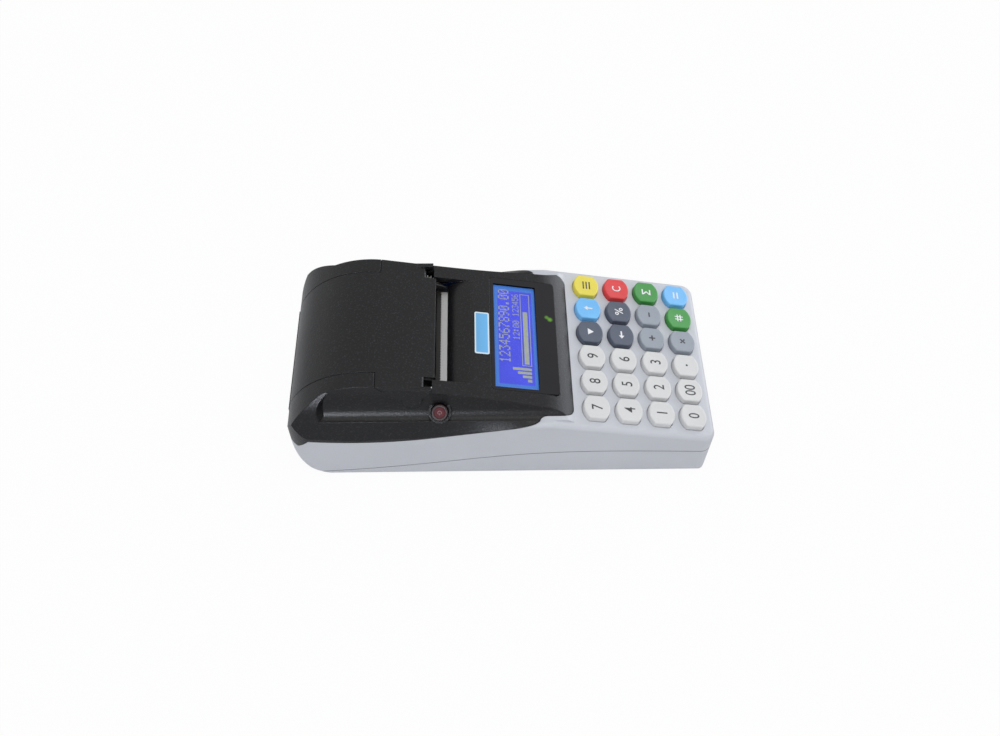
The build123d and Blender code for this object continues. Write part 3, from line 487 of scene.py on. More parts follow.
def moulded(name, colour, roughness=0.5, grain=0.0005, depth=0.00002, vary=0.05, specular=0.5,
            edge=0.0003, coat=0.0):
    """Moulded plastic: a fine even texture, a little unevenness of tone."""
    finish = Finish(name, roughness, Specular_IOR_Level=specular)
    if coat:
        finish.set("Coat Weight", coat)
        finish.set("Coat Roughness", 0.15)
    fine = finish.noise(grain, 3.0)
    broad = finish.noise(BROAD)
    face = finish.blend(uneven_tone(fine, broad), shade(colour, 1 - vary), shade(colour, 1 + vary))
    finish.set("Base Color", face)
    finish.set("Roughness", (broad - 0.5) * 0.12 + roughness)
    finish.bump(fine, depth, edge)
    return finish.material


def printed(name, colour):
    """Flat ink or paint, without softened corners."""
    return moulded(name, colour, edge=0.0)


def spark_black(name, colour):
    """Satin black plastic with the fine eroded texture of its mould."""
    roughness = 0.33
    finish = Finish(name, roughness, Specular_IOR_Level=0.24)
    grain = finish.noise(0.0008, 3.0)
    broad = finish.noise(BROAD)
    fleck = grain.ramp(0.54, 0.68)
    finish.set("Base Color", finish.blend(fleck * 0.8, colour, shade(colour, 4.0)))
    finish.set("Roughness", (broad - 0.5) * 0.1 + roughness)
    finish.bump(grain, 0.00012, 0.0005)
    return finish.material


def case_shell(name, colour):
    """Moulded case with a shadow in its parting line."""
    roughness = 0.5
    finish = Finish(name, roughness, Specular_IOR_Level=0.5)
    _, y, z = finish.axes()
    line = seam_points()
    start, end = line[0][0], line[-1][0]
    top = 0.05  # above the line everywhere, because the curve holds values from 0 to 1
    curve = finish.node("ShaderNodeFloatCurve", {}, {"Value": (y - start) / (end - start)})
    points = curve.mapping.curves[0].points
    points[0].location = (0.0, line[0][1] / top)
    points[1].location = (1.0, line[-1][1] / top)
    for py, pz in line[1:-1]:
        points.new((py - start) / (end - start), pz / top)
    for point in points:
        point.handle_type = "VECTOR"
    curve.mapping.update()
    seam = Level(finish.tree, curve.outputs[0]) * top + SEAM_LIFT
    shadow = (1.0 - abs(z - seam).ramp(SEAM_CORE, SEAM_REACH)) * SEAM_SHADE
    fine = finish.noise(0.0006, 3.0)
    broad = finish.noise(BROAD)
    face = finish.blend(uneven_tone(fine, broad), shade(colour, 0.98), shade(colour, 1.02))
    finish.set("Base Color", finish.blend(shadow, face, shade(colour, 0.12)))
    finish.set("Roughness", (broad - 0.5) * 0.1 + roughness)
    finish.bump(fine, 0.000015, 0.0005)
    return finish.material


def brushed(name, colour, roughness=0.3, lines=(0.1, 1.0, 1.0)):
    """Metal with fine lines along one direction and a few darker flecks."""
    finish = Finish(name, roughness, 1.0)
    streak = finish.noise(0.0003, 2.0, finish.stretched(*lines))
    fleck = finish.noise(0.0006).ramp(0.56, 0.68)
    finish.set("Base Color", finish.blend(fleck * 0.35, colour, shade(colour, 0.55)))
    finish.set("Roughness", (streak - 0.5) * 0.3 + roughness)
    finish.bump(streak, 0.00001, 0.0002)
    return finish.material


def matt_rubber(name, colour):
    """Soft rubber or silicone with a dusty bloom."""
    finish = Finish(name, 0.75, Specular_IOR_Level=0.3)
    dust = finish.noise(0.004, 4.0)
    grain = finish.noise(0.0003)
    finish.set("Base Color", finish.blend(dust.ramp(0.35, 0.75), colour, shade(colour, 1.35)))
    finish.bump(grain, 0.00002, 0.0002)
    return finish.material


def window(name, colours):
    """A dark polished window: clear over the display, with a small green glow at the lamp."""
    finish = Finish(name, 0.08, Specular_IOR_Level=0.28)
    x, y, _ = finish.axes()
    smear = finish.noise(0.012, 3.0)
    finish.set("Base Color", finish.blend(smear, colours.lens, shade(colours.lens, 1.6)))
    finish.set("Roughness", smear * 0.08 + 0.05)
    inside = abs(x).under(CLEAR_X) * abs(y - DISPLAY_Y).under(CLEAR_Y)
    finish.set("Alpha", 1.0 - inside * 0.97)
    glow = 0.0
    for lamp_x, lamp_y, radius, level in GLOW_SPOTS:
        dx = (x - lamp_x * MM) / (radius * MM)
        dy = (y - lamp_y * MM) / (radius * MM)
        distance = (dx * dx + dy * dy) ** 0.5
        glow = glow + (1.0 - distance.ramp(0.3, 2.0)) * level
    finish.glow(finish.blend(glow.clamped(), (0.0, 0.0, 0.0), colours.lamp), 0.75)
    return finish.material


def display_face(name, colours):
    """The lit display: vivid blue with a paler margin."""
    finish = Finish(name, 0.35, Specular_IOR_Level=0.3)
    x, y, _ = finish.axes()
    across = (abs(x) - FIELD_X) / FIELD_BLEND
    along = (abs(y - DISPLAY_Y) - FIELD_Y) / FIELD_BLEND
    margin = (across.clamped() + along.clamped()).clamped()
    uneven = finish.noise(0.02)
    deep = finish.blend(uneven.ramp(0.3, 0.7), colours.display, shade(colours.display, 1.15))
    face = finish.blend(margin, deep, colours.display_margin)
    finish.set("Base Color", face)
    finish.glow(face, 0.3)
    return finish.material


def display_ink(name, colours):
    """The pale dots and lines of the display."""
    finish = Finish(name, 0.5)
    cloud = finish.noise(0.002)
    tone = finish.blend(cloud, shade(colours.dots, 0.85), shade(colours.dots, 1.15))
    finish.set("Base Color", tone)
    finish.glow(tone, 0.5)
    return finish.material


def paper_turns(name, colour):
    """The end of a wound paper roll: thin rings about its axis, plain paper on its outside."""
    low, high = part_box("paper_roll")
    finish = Finish(name, 0.85, Specular_IOR_Level=0.2)
    _, y, z = finish.axes()
    dy = y - (low.y + high.y) / 2
    dz = z - (low.z + high.z) / 2
    radius = (dy * dy + dz * dz) ** 0.5
    turn = 0.35 * MM
    rings = (radius * (2 * math.pi / turn)).sine() * 0.5 + 0.5
    fibre = finish.noise(0.0015, 4.0)
    finish.set("Base Color", finish.blend(rings * 0.5 + fibre * 0.3, shade(colour, 0.86), colour))
    finish.bump(rings * 0.6 + fibre * 0.4, 0.00003)
    return finish.material


def circuit_board(name, colour):
    """Solder mask with faint tracks beneath it."""
    finish = Finish(name, 0.3)
    black, white = (0.0, 0.0, 0.0), (1.0, 1.0, 1.0)
    values = {"Vector": finish.place, "Scale": 260.0, "Mortar Size": 0.08, "Brick Width": 1.3,
              "Row Height": 0.22, "Color1": black, "Color2": black, "Mortar": white}
    bricks = finish.node("ShaderNodeTexBrick", {"offset": 0.37}, values)
    tracks = Level(finish.tree, bricks.outputs["Fac"])
    finish.set("Base Color", finish.blend(tracks, colour, shade(colour, 1.7)))
    finish.bump(tracks, 0.00003)
    return finish.material


def plate_face(name, colours):
    """A printed plate left bare: blue that pales to its margin."""
    finish = Finish(name, 0.25, Coat_Weight=0.6)
    low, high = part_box("name_plate")
    x, y, _ = finish.axes()
    margin, blend = 0.9 * MM, 0.5 * MM
    across = (abs(x - (low.x + high.x) / 2) - (high.x - low.x) / 2 + margin) / blend
    along = (abs(y - (low.y + high.y) / 2) - (high.y - low.y) / 2 + margin) / blend
    border = (across.clamped() + along.clamped()).clamped()
    sweep = ((y - low.y) / (high.y - low.y)).clamped()
    body = finish.blend(sweep, shade(colours.plate, 1.25), colours.plate)
    finish.set("Base Color", finish.blend(border, body, (0.78, 0.9, 0.97)))
    return finish.material


# ------------------------------------------------------------------ settings


class RegisterSizes(bpy.types.PropertyGroup):
    """Sizes of the fine pieces."""

    key_round: FloatProperty(
        name="Key rounding", description="Radius of the upper edge of a key cap",
        default=0.0006, min=0.0003, max=0.0013, unit="LENGTH")
    key_dish: FloatProperty(
        name="Key dish", description="Depth of the hollow in a key's top",
        default=0.00012, min=0.0, max=0.0004, unit="LENGTH")
    digit_height: FloatProperty(
        name="Digit height", description="Height of the digits on the keys",
        default=0.0056, min=0.002, max=0.008, unit="LENGTH")
    dot_gap: FloatProperty(
        name="Dot gap", description="Gap between the dots of the display, of their pitch",
        default=0.1, min=0.0, max=0.5, subtype="FACTOR")
    lamp_watts: FloatProperty(
        name="Lamp power", description="Power of the main soft light",
        default=8.1, min=0.1, max=100.0, unit="POWER")


class RegisterColours(bpy.types.PropertyGroup):
    """Colours of the finishes, linear."""

    case: FloatVectorProperty(
        name="Case", description="Moulded case", size=3, subtype="COLOR",
        default=(0.600, 0.615, 0.660))
    hood: FloatVectorProperty(
        name="Hood", description="Printer hood and lid", size=3, subtype="COLOR",
        default=(0.006, 0.006, 0.007))
    lens: FloatVectorProperty(
        name="Window", description="Display window", size=3, subtype="COLOR",
        default=(0.008, 0.008, 0.010))
    display: FloatVectorProperty(
        name="Display", description="Lit display", size=3, subtype="COLOR",
        default=(0.055, 0.070, 0.640))
    display_margin: FloatVectorProperty(
        name="Display margin", description="Margin of the display", size=3, subtype="COLOR",
        default=(0.055, 0.180, 0.600))
    dots: FloatVectorProperty(
        name="Dots", description="Dots of the display", size=3, subtype="COLOR",
        default=(0.250, 0.275, 0.235))
    lamp: FloatVectorProperty(
        name="Lamp", description="Glow of the status lamp", size=3, subtype="COLOR",
        default=(0.150, 0.420, 0.020))
    plate: FloatVectorProperty(
        name="Plate", description="Bare name plate", size=3, subtype="COLOR",
        default=(0.110, 0.400, 0.740))
    key_light: FloatVectorProperty(
        name="Light keys", description="Number keys", size=3, subtype="COLOR",
        default=(0.700, 0.700, 0.695))
    key_mid: FloatVectorProperty(
        name="Grey keys", description="Arithmetic keys", size=3, subtype="COLOR",
        default=(0.300, 0.335, 0.385))
    key_dark: FloatVectorProperty(
        name="Dark keys", description="Dark keys", size=3, subtype="COLOR",
        default=(0.068, 0.084, 0.124))
    key_yellow: FloatVectorProperty(
        name="Yellow key", description="Mode key", size=3, subtype="COLOR",
        default=(0.880, 0.745, 0.080))
    key_red: FloatVectorProperty(
        name="Red key", description="Clear key", size=3, subtype="COLOR",
        default=(0.740, 0.036, 0.038))
    key_green: FloatVectorProperty(
        name="Green keys", description="Green keys", size=3, subtype="COLOR",
        default=(0.035, 0.285, 0.040))
    key_blue: FloatVectorProperty(
        name="Blue keys", description="Blue keys", size=3, subtype="COLOR",
        default=(0.175, 0.540, 0.990))


# ------------------------------------------------------------------ operators


class REGISTER_OT_finishes(bpy.types.Operator):
    """Give every carried-over node its procedural finish"""
    bl_idname = "register.finishes"
    bl_label = "Finishes"

    def execute(self, context):
        colours = context.scene.register_colours
        made = {
            "case_grey": case_shell("case_grey", colours.case),
            "hood_black": spark_black("hood_black", colours.hood),
            "window_dark": window("window_dark", colours),
            "display_blue": display_face("display_blue", colours),
            "lamp_green": moulded("lamp_green", colours.lamp, 0.2, coat=0.5),
            "plate_blue": plate_face("plate_blue", colours),
            "bar_steel": brushed("bar_steel", (0.36, 0.36, 0.36), 0.35),
            "frame_steel": brushed("frame_steel", (0.55, 0.56, 0.57), 0.38, (1.0, 0.1, 1.0)),
            "button_red": matt_rubber("button_red", (0.085, 0.012, 0.018)),
            "inner_black": moulded("inner_black", (0.02, 0.02, 0.02), 0.5, vary=0.2),
            "paper_white": paper_turns("paper_white", (0.88, 0.88, 0.86)),
            "core_board": moulded("core_board", (0.42, 0.31, 0.2), 0.85, 0.0008, 0.00005, 0.2),
            "head_ceramic": moulded("head_ceramic", (0.02, 0.019, 0.018), 0.3, specular=0.3),
            "platen_black": matt_rubber("platen_black", (0.03, 0.03, 0.03)),
            "gear_nylon": moulded("gear_nylon", (0.5, 0.49, 0.45), 0.4),
            "gear_brass": brushed("gear_brass", (0.72, 0.52, 0.2), 0.25, (1.0, 0.2, 0.2)),
            "board_green": circuit_board("board_green", (0.015, 0.14, 0.05)),
            "mat_grey": matt_rubber("mat_grey", (0.2, 0.2, 0.21)),
            "foot_rubber": matt_rubber("foot_rubber", (0.03, 0.03, 0.03)),
            "cell_wrap": moulded("cell_wrap", (0.05, 0.24, 0.1), 0.25, coat=0.6),
        }
        for tone in ("light", "mid", "dark", "yellow", "red", "green", "blue"):
            slot = "key_" + tone
            vary = 0.03 if tone in ("light", "mid") else 0.06
            made[slot] = moulded(slot, getattr(colours, slot), 0.42, 0.0009, 0.00001, vary,
                                 edge=0.0)
        for name, node in frame["nodes"].items():
            material = made[SLOT_OF[name]]
            mesh = node.data
            if not mesh.materials:
                mesh.materials.append(material)
            for slot in node.material_slots:
                slot.material = material
        return {"FINISHED"}


class REGISTER_OT_keys(bpy.types.Operator):
    """Shape the twenty-four key caps with a rounded upper edge and a shallow dish"""
    bl_idname = "register.keys"
    bl_label = "Key caps"

    def execute(self, context):
        sizes = context.scene.register_sizes
        outline = barrel_outline(KEY_HALF_WIDTH, KEY_HALF_SIDE, KEY_HALF_LENGTH, KEY_CORNER)
        rounding = sizes.key_round
        fall = 1.05
        small = 0.1 * MM
        profile = [
            (small - KEY_FLANGE, KEY_UNDERSIDE), (-KEY_FLANGE, KEY_UNDERSIDE + small),
            (-KEY_FLANGE, KEY_FLANGE_TOP - small), (small - KEY_FLANGE, KEY_FLANGE_TOP),
            (0.0, KEY_FLANGE_TOP), (0.0, -rounding * fall),
        ] + quarter_round(rounding, KEY_EDGE_STEPS, fall)
        for name in KEYS:
            place = key_place(name)
            points = []
            for inset, height in profile:
                for (x, y), (nx, ny) in outline:
                    points.append(place @ Vector((x - nx * inset, y - ny * inset, height)))
            for s in KEY_DISH_RINGS:
                for (x, y), (nx, ny) in outline:
                    px, py = (x - nx * rounding) * s, (y - ny * rounding) * s
                    points.append(place @ Vector((px, py, -sizes.key_dish * (1 - s * s))))
            faces = rings_to_faces(len(outline), len(profile) + len(KEY_DISH_RINGS))
            cap = new_piece("cap_" + name, points, faces, finish_of(name), name, 40.0)
            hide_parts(name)
        return {"FINISHED"}


def text_mesh(body, height, name, squeeze=0.82):
    """Plain characters as a flat mesh round the origin."""
    curve = bpy.data.curves.new(name, "FONT")
    curve.body = body
    curve.align_x = "CENTER"
    curve.align_y = "CENTER"
    curve.size = height / CAPITAL
    curve.offset = height * THICKEN
    holder = bpy.data.objects.new(name, curve)
    bpy.context.scene.collection.objects.link(holder)
    mesh = plain_mesh(holder, name)
    bpy.data.objects.remove(holder)
    xs = [v.co.x for v in mesh.vertices]
    ys = [v.co.y for v in mesh.vertices]
    middle = Vector(((min(xs) + max(xs)) / 2, (min(ys) + max(ys)) / 2, 0.0))
    mesh.transform(Matrix.Diagonal((squeeze, 1.0, 1.0, 1.0)) @ Matrix.Translation(-middle))
    return mesh


STROKE = 0.17  # width of a mark's lines; marks are drawn with a height of about 1


def hash_shapes():
    """Two rows, and two columns cut where they cross the rows."""
    line, row, end = STROKE * 0.7, 0.16, 0.45
    shapes = [bar_shape(-end, y, end, y, line) for y in (-row, row)]
    cuts = ((-end, -row - line / 2), (-row + line / 2, row - line / 2), (row + line / 2, end))
    for x in (-0.17, 0.17):
        for y0, y1 in cuts:
            shapes.append(bar_shape(x, y0, x, y1, line))
    return shapes


MARKS = {
    "minus": [bar_shape(-0.3, 0, 0.3, 0, STROKE)],
    "plus": [
        bar_shape(-0.34, 0, 0.34, 0, STROKE),
        bar_shape(0, STROKE / 2, 0, 0.34, STROKE),
        bar_shape(0, -0.34, 0, -STROKE / 2, STROKE),
    ],
    "times": [
        bar_shape(-0.25, -0.25, 0.25, 0.25, STROKE),
        bar_shape(-0.25, 0.25, -STROKE / 2, STROKE / 2, STROKE),
        bar_shape(STROKE / 2, -STROKE / 2, 0.25, -0.25, STROKE),
    ],
    "equals": [bar_shape(-0.42, y, 0.42, y, STROKE) for y in (-0.2, 0.2)],
    "menu": [bar_shape(-0.5, y, 0.5, y, STROKE * 0.85) for y in (-0.34, 0, 0.34)],
    "point": [disc_shape(0, -0.05, 0.12)],
    "percent": [
        *ring_shapes(-0.29, 0.24, 0.155, 0.06),
        *ring_shapes(0.29, -0.24, 0.155, 0.06),
        bar_shape(-0.24, -0.44, 0.24, 0.44, STROKE * 0.72),
    ],
    "hash": hash_shapes(),
    "up": [
        bar_shape(0, -0.45, 0, 0.12, STROKE * 0.8),
        [(-0.28, 0.1), (0.28, 0.1), (0, 0.48)],
    ],
    "down": [[(-0.4, 0.28), (0, -0.36), (0.4, 0.28)]],
    "back": [
        bar_shape(-0.1, 0, 0.45, 0, STROKE),
        [(-0.1, -0.3), (-0.1, 0.3), (-0.5, 0)],
    ],
    "sum": [
        bar_shape(-0.36, 0.42, 0.36, 0.42, STROKE * 0.9),
        bar_shape(-0.36, -0.42, 0.36, -0.42, STROKE * 0.9),
        bar_shape(-0.3, 0.36, 0.08, 0, STROKE * 0.9),
        bar_shape(0.08, 0, -0.3, -0.36, STROKE * 0.9),
    ],
}


class REGISTER_OT_legends(bpy.types.Operator):
    """Print the digits and plain marks on the keys"""
    bl_idname = "register.legends"
    bl_label = "Legends"

    LEGENDS = {
        "key_credit": ("mark", "down"), "key_up": ("mark", "up"), "key_mode": ("mark", "menu"),
        "key_return": ("mark", "back"), "key_percent": ("mark", "percent"),
        "key_clear": ("text", "C"), "key_plus": ("mark", "plus"), "key_minus": ("mark", "minus"),
        "key_subtotal": ("mark", "sum"), "key_point": ("mark", "point"),
        "key_times": ("mark", "times"), "key_code": ("mark", "hash"),
        "key_total": ("mark", "equals"),
    }

    def execute(self, context):
        sizes = context.scene.register_sizes
        dark = printed("legend_dark", (0.02, 0.02, 0.022))
        pale = printed("legend_pale", (0.85, 0.86, 0.88))
        reach_x, reach_y = KEY_DISH_REACH
        for name in KEYS:
            slot = SLOT_OF[name]
            kind, what = self.LEGENDS.get(name, ("text", name.split("_")[1]))
            if kind == "text":
                height = sizes.digit_height * (1.0 if what[0].isdigit() else LETTER_SHARE)
                mesh = text_mesh(what, height, "legend_" + name)
            else:
                height = sizes.digit_height * MARK_SHARE
                mesh = shapes_mesh("legend_" + name, MARKS[what], height)
            for vertex in mesh.vertices:
                r2 = (vertex.co.x / reach_x) ** 2 + (vertex.co.y / reach_y) ** 2
                vertex.co.z = INK_LIFT - sizes.key_dish * max(0.0, 1 - r2)
            mesh.transform(key_place(name))
            mesh.materials.clear()
            mesh.materials.append(dark if slot in ("key_light", "key_mid", "key_yellow") else pale)
            place_piece("legend_" + name, mesh, name)
        return {"FINISHED"}


# the characters of the display, seven rows of five dots from the top, as bits
DIGIT_ROWS = {
    "0": (14, 17, 19, 21, 25, 17, 14), "1": (4, 12, 4, 4, 4, 4, 14),
    "2": (14, 17, 1, 2, 4, 8, 31), "3": (31, 2, 4, 2, 1, 17, 14),
    "4": (2, 6, 10, 18, 31, 2, 2), "5": (31, 16, 30, 1, 1, 17, 14),
    "6": (6, 8, 16, 30, 17, 17, 14), "7": (31, 1, 2, 4, 8, 8, 8),
    "8": (14, 17, 17, 14, 17, 17, 14), "9": (14, 17, 17, 15, 1, 2, 12),
    ".": (0, 0, 0, 0, 0, 12, 12), ":": (0, 12, 12, 0, 12, 12, 0), " ": (0,) * 7,
}

# the two lines: text, left and top edge, and pitch of the dots across and down, in millimetres
DISPLAY_LINES = (
    ("1234567890.00", -15.6, 8.1, 0.583, 0.80),
    ("12:00 123456", -1.5, 1.1, 0.400, 0.48),
)


def dot_centres(line, x, y, pitch_x, pitch_y):
    """Centres of the lit dots of a line of characters whose top left corner is at x, y."""
    centres = []
    for index, character in enumerate(line):
        for row, bits in enumerate(DIGIT_ROWS[character]):
            for column in range(5):
                if bits >> (4 - column) & 1:
                    centres.append((x + (index * 6 + column) * pitch_x, y - row * pitch_y))
    return centres


def dot_tree(material):
    """Geometry Nodes: one small square on every point, laid in the plane of the points."""
    tree = bpy.data.node_groups.new("display_dots", "GeometryNodeTree")
    sockets = tree.interface
    sockets.new_socket("Geometry", in_out="INPUT", socket_type="NodeSocketGeometry")
    for label, value in (("Dot width", 0.0005), ("Dot height", 0.0007), ("Slope", 0.0)):
        socket = sockets.new_socket(label, in_out="INPUT", socket_type="NodeSocketFloat")
        socket.default_value = value
    sockets.new_socket("Geometry", in_out="OUTPUT", socket_type="NodeSocketGeometry")
    given = add_node(tree, "NodeGroupInput").outputs
    points = add_node(tree, "GeometryNodeMeshToPoints", {}, {"Mesh": given["Geometry"]})
    square = add_node(tree, "GeometryNodeMeshGrid", {},
                      {"Vertices X": 2, "Vertices Y": 2,
                       "Size X": given["Dot width"], "Size Y": given["Dot height"]})
    turn = add_node(tree, "ShaderNodeCombineXYZ", {}, {"X": given["Slope"]})
    spread = add_node(tree, "GeometryNodeInstanceOnPoints", {},
                      {"Points": points.outputs["Points"], "Instance": square.outputs["Mesh"],
                       "Rotation": turn.outputs["Vector"]})
    real = add_node(tree, "GeometryNodeRealizeInstances", {},
                    {"Geometry": spread.outputs["Instances"]})
    paint = add_node(tree, "GeometryNodeSetMaterial", {},
                     {"Geometry": real.outputs["Geometry"], "Material": material})
    add_node(tree, "NodeGroupOutput", {}, {"Geometry": paint.outputs["Geometry"]})
    return tree


def run_tree(name, mesh, tree, inputs):
    """The mesh that a tree makes of another mesh."""
    holder = bpy.data.objects.new(name, mesh)
    bpy.context.scene.collection.objects.link(holder)
    modifier = holder.modifiers.new("nodes", "NODES")
    modifier.node_group = tree
    identifiers = {item.name: item.identifier for item in tree.interface.items_tree
                   if item.item_type == "SOCKET" and item.in_out == "INPUT"}
    for label, value in inputs.items():
        modifier[identifiers[label]] = value
    made = plain_mesh(holder, name)
    holder.modifiers.remove(modifier)
    bpy.data.objects.remove(holder)
    return made


class REGISTER_OT_display(bpy.types.Operator):
    """Light the display: two lines of numbers, a frame with a bar in it, and level bars"""
    bl_idname = "register.display"
    bl_label = "Display"

    def execute(self, context):
        sizes = context.scene.register_sizes
        ink = display_ink("display_dots", context.scene.register_colours)
        normal = slope_normal("lcd_module")
        place = flat_place("lcd_module", normal)
        rise = math.atan2(-normal.y, normal.z)
        middle = (place.inverted() @ Vector((0.0, DISPLAY_Y, place.translation.z))).y
        origin = place @ Matrix.Translation((0.0, middle, 0.03 * MM))
        keep = 1.0 - sizes.dot_gap
        tree = dot_tree(ink)
        for number, (line, *numbers) in enumerate(DISPLAY_LINES, 1):
            x, y, pitch_x, pitch_y = (value * MM for value in numbers)
            mesh = bpy.data.meshes.new("dot_places")
            centres = dot_centres(line, x, y, pitch_x, pitch_y)
            mesh.from_pydata([tuple(origin @ Vector((*c, 0.0))) for c in centres], [], [])
            name = f"display_line_{number}"
            made = run_tree(name, mesh, tree, {"Dot width": pitch_x * keep,
                                               "Dot height": pitch_y * keep, "Slope": rise})
            place_piece(name, made, "case")
        shapes = frame_shapes(-17.2 * MM, -7.6 * MM, 27.0 * MM, -2.8 * MM, FRAME_LINE)
        shapes.append(box_shape(-16.2 * MM, -6.4 * MM, 15.8 * MM, -4.0 * MM))
        for i in range(4):
            x = (-26.5 + 2.2 * i) * MM
            shapes.append(box_shape(x, -7.4 * MM, x + 1.5 * MM, (-5.2 + 2.4 * i) * MM))
        plates("display_frames", shapes, origin, ink, "case")
        return {"FINISHED"}


class REGISTER_OT_button(bpy.types.Operator):
    """Turn the power button: a rounded rim round a dished disc, with its mark"""
    bl_idname = "register.button"
    bl_label = "Power button"

    def execute(self, context):
        outward = -joint_axis("power_press")
        node = frame["nodes"]["power_button"]
        heights = [v.co.dot(outward) for v in node.data.vertices]
        top, low = max(heights), min(heights)
        across = Vector((0.0, 1.0, 0.0))
        along = outward.cross(across)
        centre = sum((v.co for v in node.data.vertices), Vector()) / len(node.data.vertices)
        centre = centre + outward * (top - centre.dot(outward))
        turn = Matrix((across, along, outward)).transposed().to_4x4()
        place = Matrix.Translation(centre) @ turn
        depth = top - low
        r = BUTTON_RADIUS
        small = 0.1 * MM
        skirt = [(r - small, -depth), (r, -depth + small), (r, -BUTTON_ROUND)]
        edge = quarter_round(BUTTON_ROUND, BUTTON_ROUND_STEPS)
        skirt += [(r - inset, height) for inset, height in edge]
        skirt += [(r - inset * MM, -deep * MM) for inset, deep in BUTTON_LIP]
        rim = moulded("button_rim", (0.022, 0.006, 0.008), 0.55, 0.0006, 0.00001, 0.1, edge=0.0)
        body = lathe("button_body", skirt, place, rim, "power_button")
        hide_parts("power_button")
        disc = [(r - inset * MM, -deep * MM) for inset, deep in BUTTON_DISC]
        lathe("button_disc", disc, place, finish_of("power_button"), "power_button")
        shapes = [bar_shape(0.0, 0.2 * MM, 0.0, 1.1 * MM, 0.22 * MM)]
        shapes += ring_shapes(0.0, 0.0, 0.85 * MM, 0.11 * MM, 125.0, 290.0)
        mark = printed("button_mark", (0.32, 0.2, 0.21))
        plates("button_mark", shapes, place, mark, "power_button", -0.05 * MM)
        return {"FINISHED"}


# ------------------------------------------------------------------ stage

COOL = (0.88, 0.92, 1.0)
COOLER = (0.85, 0.9, 1.0)

# name, place, aim, width, height, share of the main lamp's power, colour, highlights only
LAMPS = (
    ("lamp_main", (-0.25, -0.25, 1.8), (0.0, 0.0, 0.03), 1.2, 1.2, 1.0, (1.0, 0.99, 0.97), False),
    ("strip_cove", (-0.6, 0.26, 0.42), (-0.042, 0.06, 0.05), 0.16, 0.1, 0.3, COOL, True),
    ("strip_low", (-0.7, 0.22, 0.2), (-0.04, 0.06, 0.053), 0.2, 0.07, 0.3, COOLER, True),
    ("strip_front", (0.4, -0.55, 0.2), (0.0, -0.03, 0.05), 0.5, 0.5, 0.42, COOL, True),
)

FLOOR_HALF = 4.0
FLOOR_WHITE = 0.95  # how far the camera sees the floor as plain white; the rest is its shading
CAMERA_PLACE = (-0.291526, 0.013930, 0.449016)
CAMERA_RIGHT = (-0.02255, -0.99960, 0.01745)
CAMERA_UP = (0.82447, -0.00872, 0.56583)
CAMERA_BACK = (-0.56545, 0.02715, 0.82433)


def lay_floor(scene):
    """A plain pale floor, white to the camera but for the object's shadow."""
    s = FLOOR_HALF
    mesh = bpy.data.meshes.new("floor")
    mesh.from_pydata([(-s, -s, 0), (s, -s, 0), (s, s, 0), (-s, s, 0)], [], [(0, 1, 2, 3)])
    floor = bpy.data.objects.new("floor", mesh)
    scene.collection.objects.link(floor)
    pale = Finish("floor_white", 0.9, Specular_IOR_Level=0.0)
    pale.set("Base Color", (0.85, 0.85, 0.85))
    glow = pale.node("ShaderNodeEmission", {}, {"Color": (1.0, 1.0, 1.0), "Strength": 1.0})
    seen = pale.node("ShaderNodeLightPath").outputs
    factor = Level(pale.tree, seen["Is Camera Ray"]) * FLOOR_WHITE
    mix = pale.node("ShaderNodeMixShader", {},
                    {0: factor, 1: pale.shader.outputs[0], 2: glow.outputs[0]})
    feed(pale.tree, pale.output.inputs["Surface"], mix.outputs[0])
    mesh.materials.append(pale.material)


def set_world(scene):
    """Soft light all round; white to the camera, in glass and in reflections."""
    world = bpy.data.worlds.new("studio")
    scene.world = world
    world.use_nodes = True
    tree = world.node_tree
    tree.nodes.clear()
    seen = add_node(tree, "ShaderNodeLightPath").outputs
    clear = Level(tree, seen["Is Camera Ray"]).or_more(seen["Is Transmission Ray"])
    either = clear.or_more(seen["Is Glossy Ray"])
    light = add_node(tree, "ShaderNodeBackground", {},
                     {"Color": (0.95, 0.97, 1.0), "Strength": 0.7})
    white = add_node(tree, "ShaderNodeBackground", {}, {"Color": (1.0, 1.0, 1.0), "Strength": 1.0})
    mixer = add_node(tree, "ShaderNodeMixShader", {},
                     {0: either, 1: light.outputs[0], 2: white.outputs[0]})
    add_node(tree, "ShaderNodeOutputWorld", {}, {"Surface": mixer.outputs[0]})


def hang_lamps(scene, watts):
    """The main soft lamp, and strips that show only in reflections."""
    for name, where, target, wide, tall, share, colour, shine_only in LAMPS:
        data = bpy.data.lights.new(name, "AREA")
        data.shape = "RECTANGLE"
        data.size = wide
        data.size_y = tall
        data.energy = watts * share
        data.color = colour
        lamp = bpy.data.objects.new(name, data)
        lamp.visible_camera = False
        lamp.visible_diffuse = not shine_only
        scene.collection.objects.link(lamp)
        aim = (Vector(target) - Vector(where)).to_track_quat("-Z", "Y")
        lamp.matrix_world = Matrix.Translation(where) @ aim.to_matrix().to_4x4()


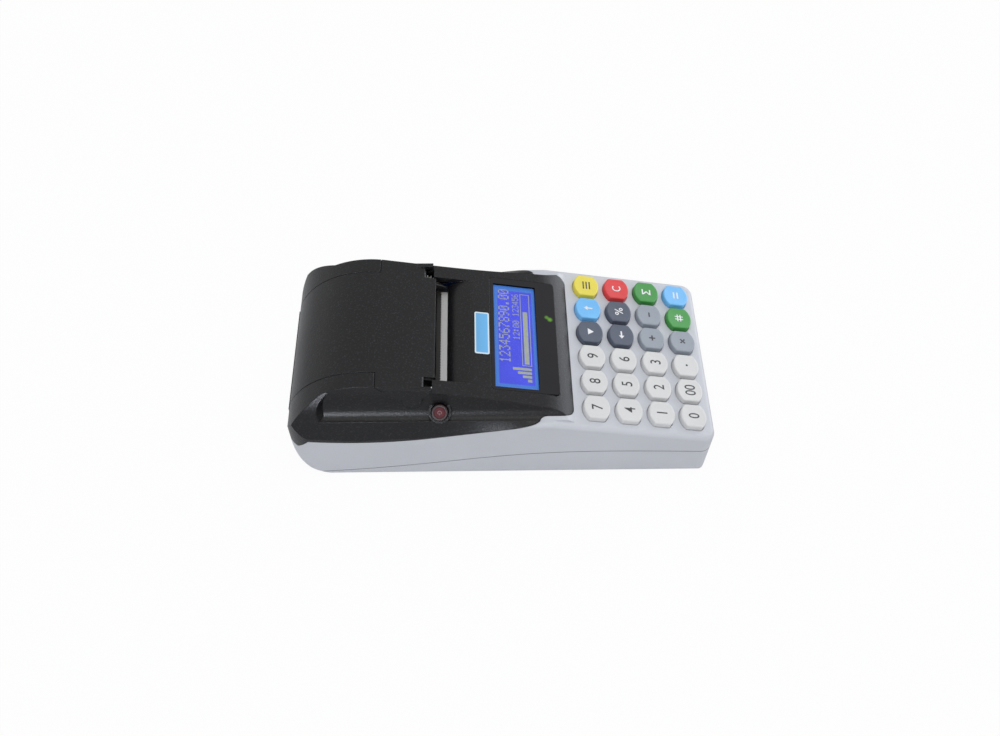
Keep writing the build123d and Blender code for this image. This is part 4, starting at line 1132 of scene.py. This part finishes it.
def place_camera(scene):
    """The camera over the near side, looking down on the register."""
    data = bpy.data.cameras.new("camera")
    data.lens = 36.0
    data.sensor_width = 36.0
    data.clip_start = 0.01
    camera = bpy.data.objects.new("camera", data)
    scene.collection.objects.link(camera)
    turn = Matrix((CAMERA_RIGHT, CAMERA_UP, CAMERA_BACK)).transposed().to_4x4()
    camera.matrix_world = Matrix.Translation(CAMERA_PLACE) @ turn
    scene.camera = camera


class REGISTER_OT_stage(bpy.types.Operator):
    """Set the floor, the soft lights, the background and the camera"""
    bl_idname = "register.stage"
    bl_label = "Stage"

    def execute(self, context):
        scene = context.scene
        scene.view_settings.view_transform = "Standard"
        lay_floor(scene)
        set_world(scene)
        hang_lamps(scene, scene.register_sizes.lamp_watts)
        place_camera(scene)
        return {"FINISHED"}


# ------------------------------------------------------------------ panel and registration


class REGISTER_PT_panel(bpy.types.Panel):
    """The pieces of the register, in the order that they are made"""
    bl_idname = "REGISTER_PT_panel"
    bl_label = "Ticket register"
    bl_space_type = "VIEW_3D"
    bl_region_type = "UI"
    bl_category = "Register"

    def draw(self, context):
        for operator in OPERATORS:
            self.layout.operator(operator.bl_idname)
        for group in (context.scene.register_sizes, context.scene.register_colours):
            box = self.layout.box()
            for name in group.bl_rna.properties.keys():
                if name not in ("rna_type", "name"):
                    box.prop(group, name)


OPERATORS = (
    REGISTER_OT_finishes, REGISTER_OT_keys, REGISTER_OT_legends, REGISTER_OT_display,
    REGISTER_OT_button, REGISTER_OT_stage,
)
CLASSES = (RegisterSizes, RegisterColours) + OPERATORS + (REGISTER_PT_panel,)


def register():
    """Add the classes, and the settings of the scene."""
    for cls in CLASSES:
        bpy.utils.register_class(cls)
    bpy.types.Scene.register_sizes = PointerProperty(type=RegisterSizes)
    bpy.types.Scene.register_colours = PointerProperty(type=RegisterColours)


def unregister():
    """Take them away again."""
    del bpy.types.Scene.register_colours
    del bpy.types.Scene.register_sizes
    for cls in reversed(CLASSES):
        bpy.utils.unregister_class(cls)


def main():
    """Make everything in order."""
    register()
    for operator in OPERATORS:
        group, name = operator.bl_idname.split(".")
        getattr(getattr(bpy.ops, group), name)()


if __name__ == "__main__":
    main()
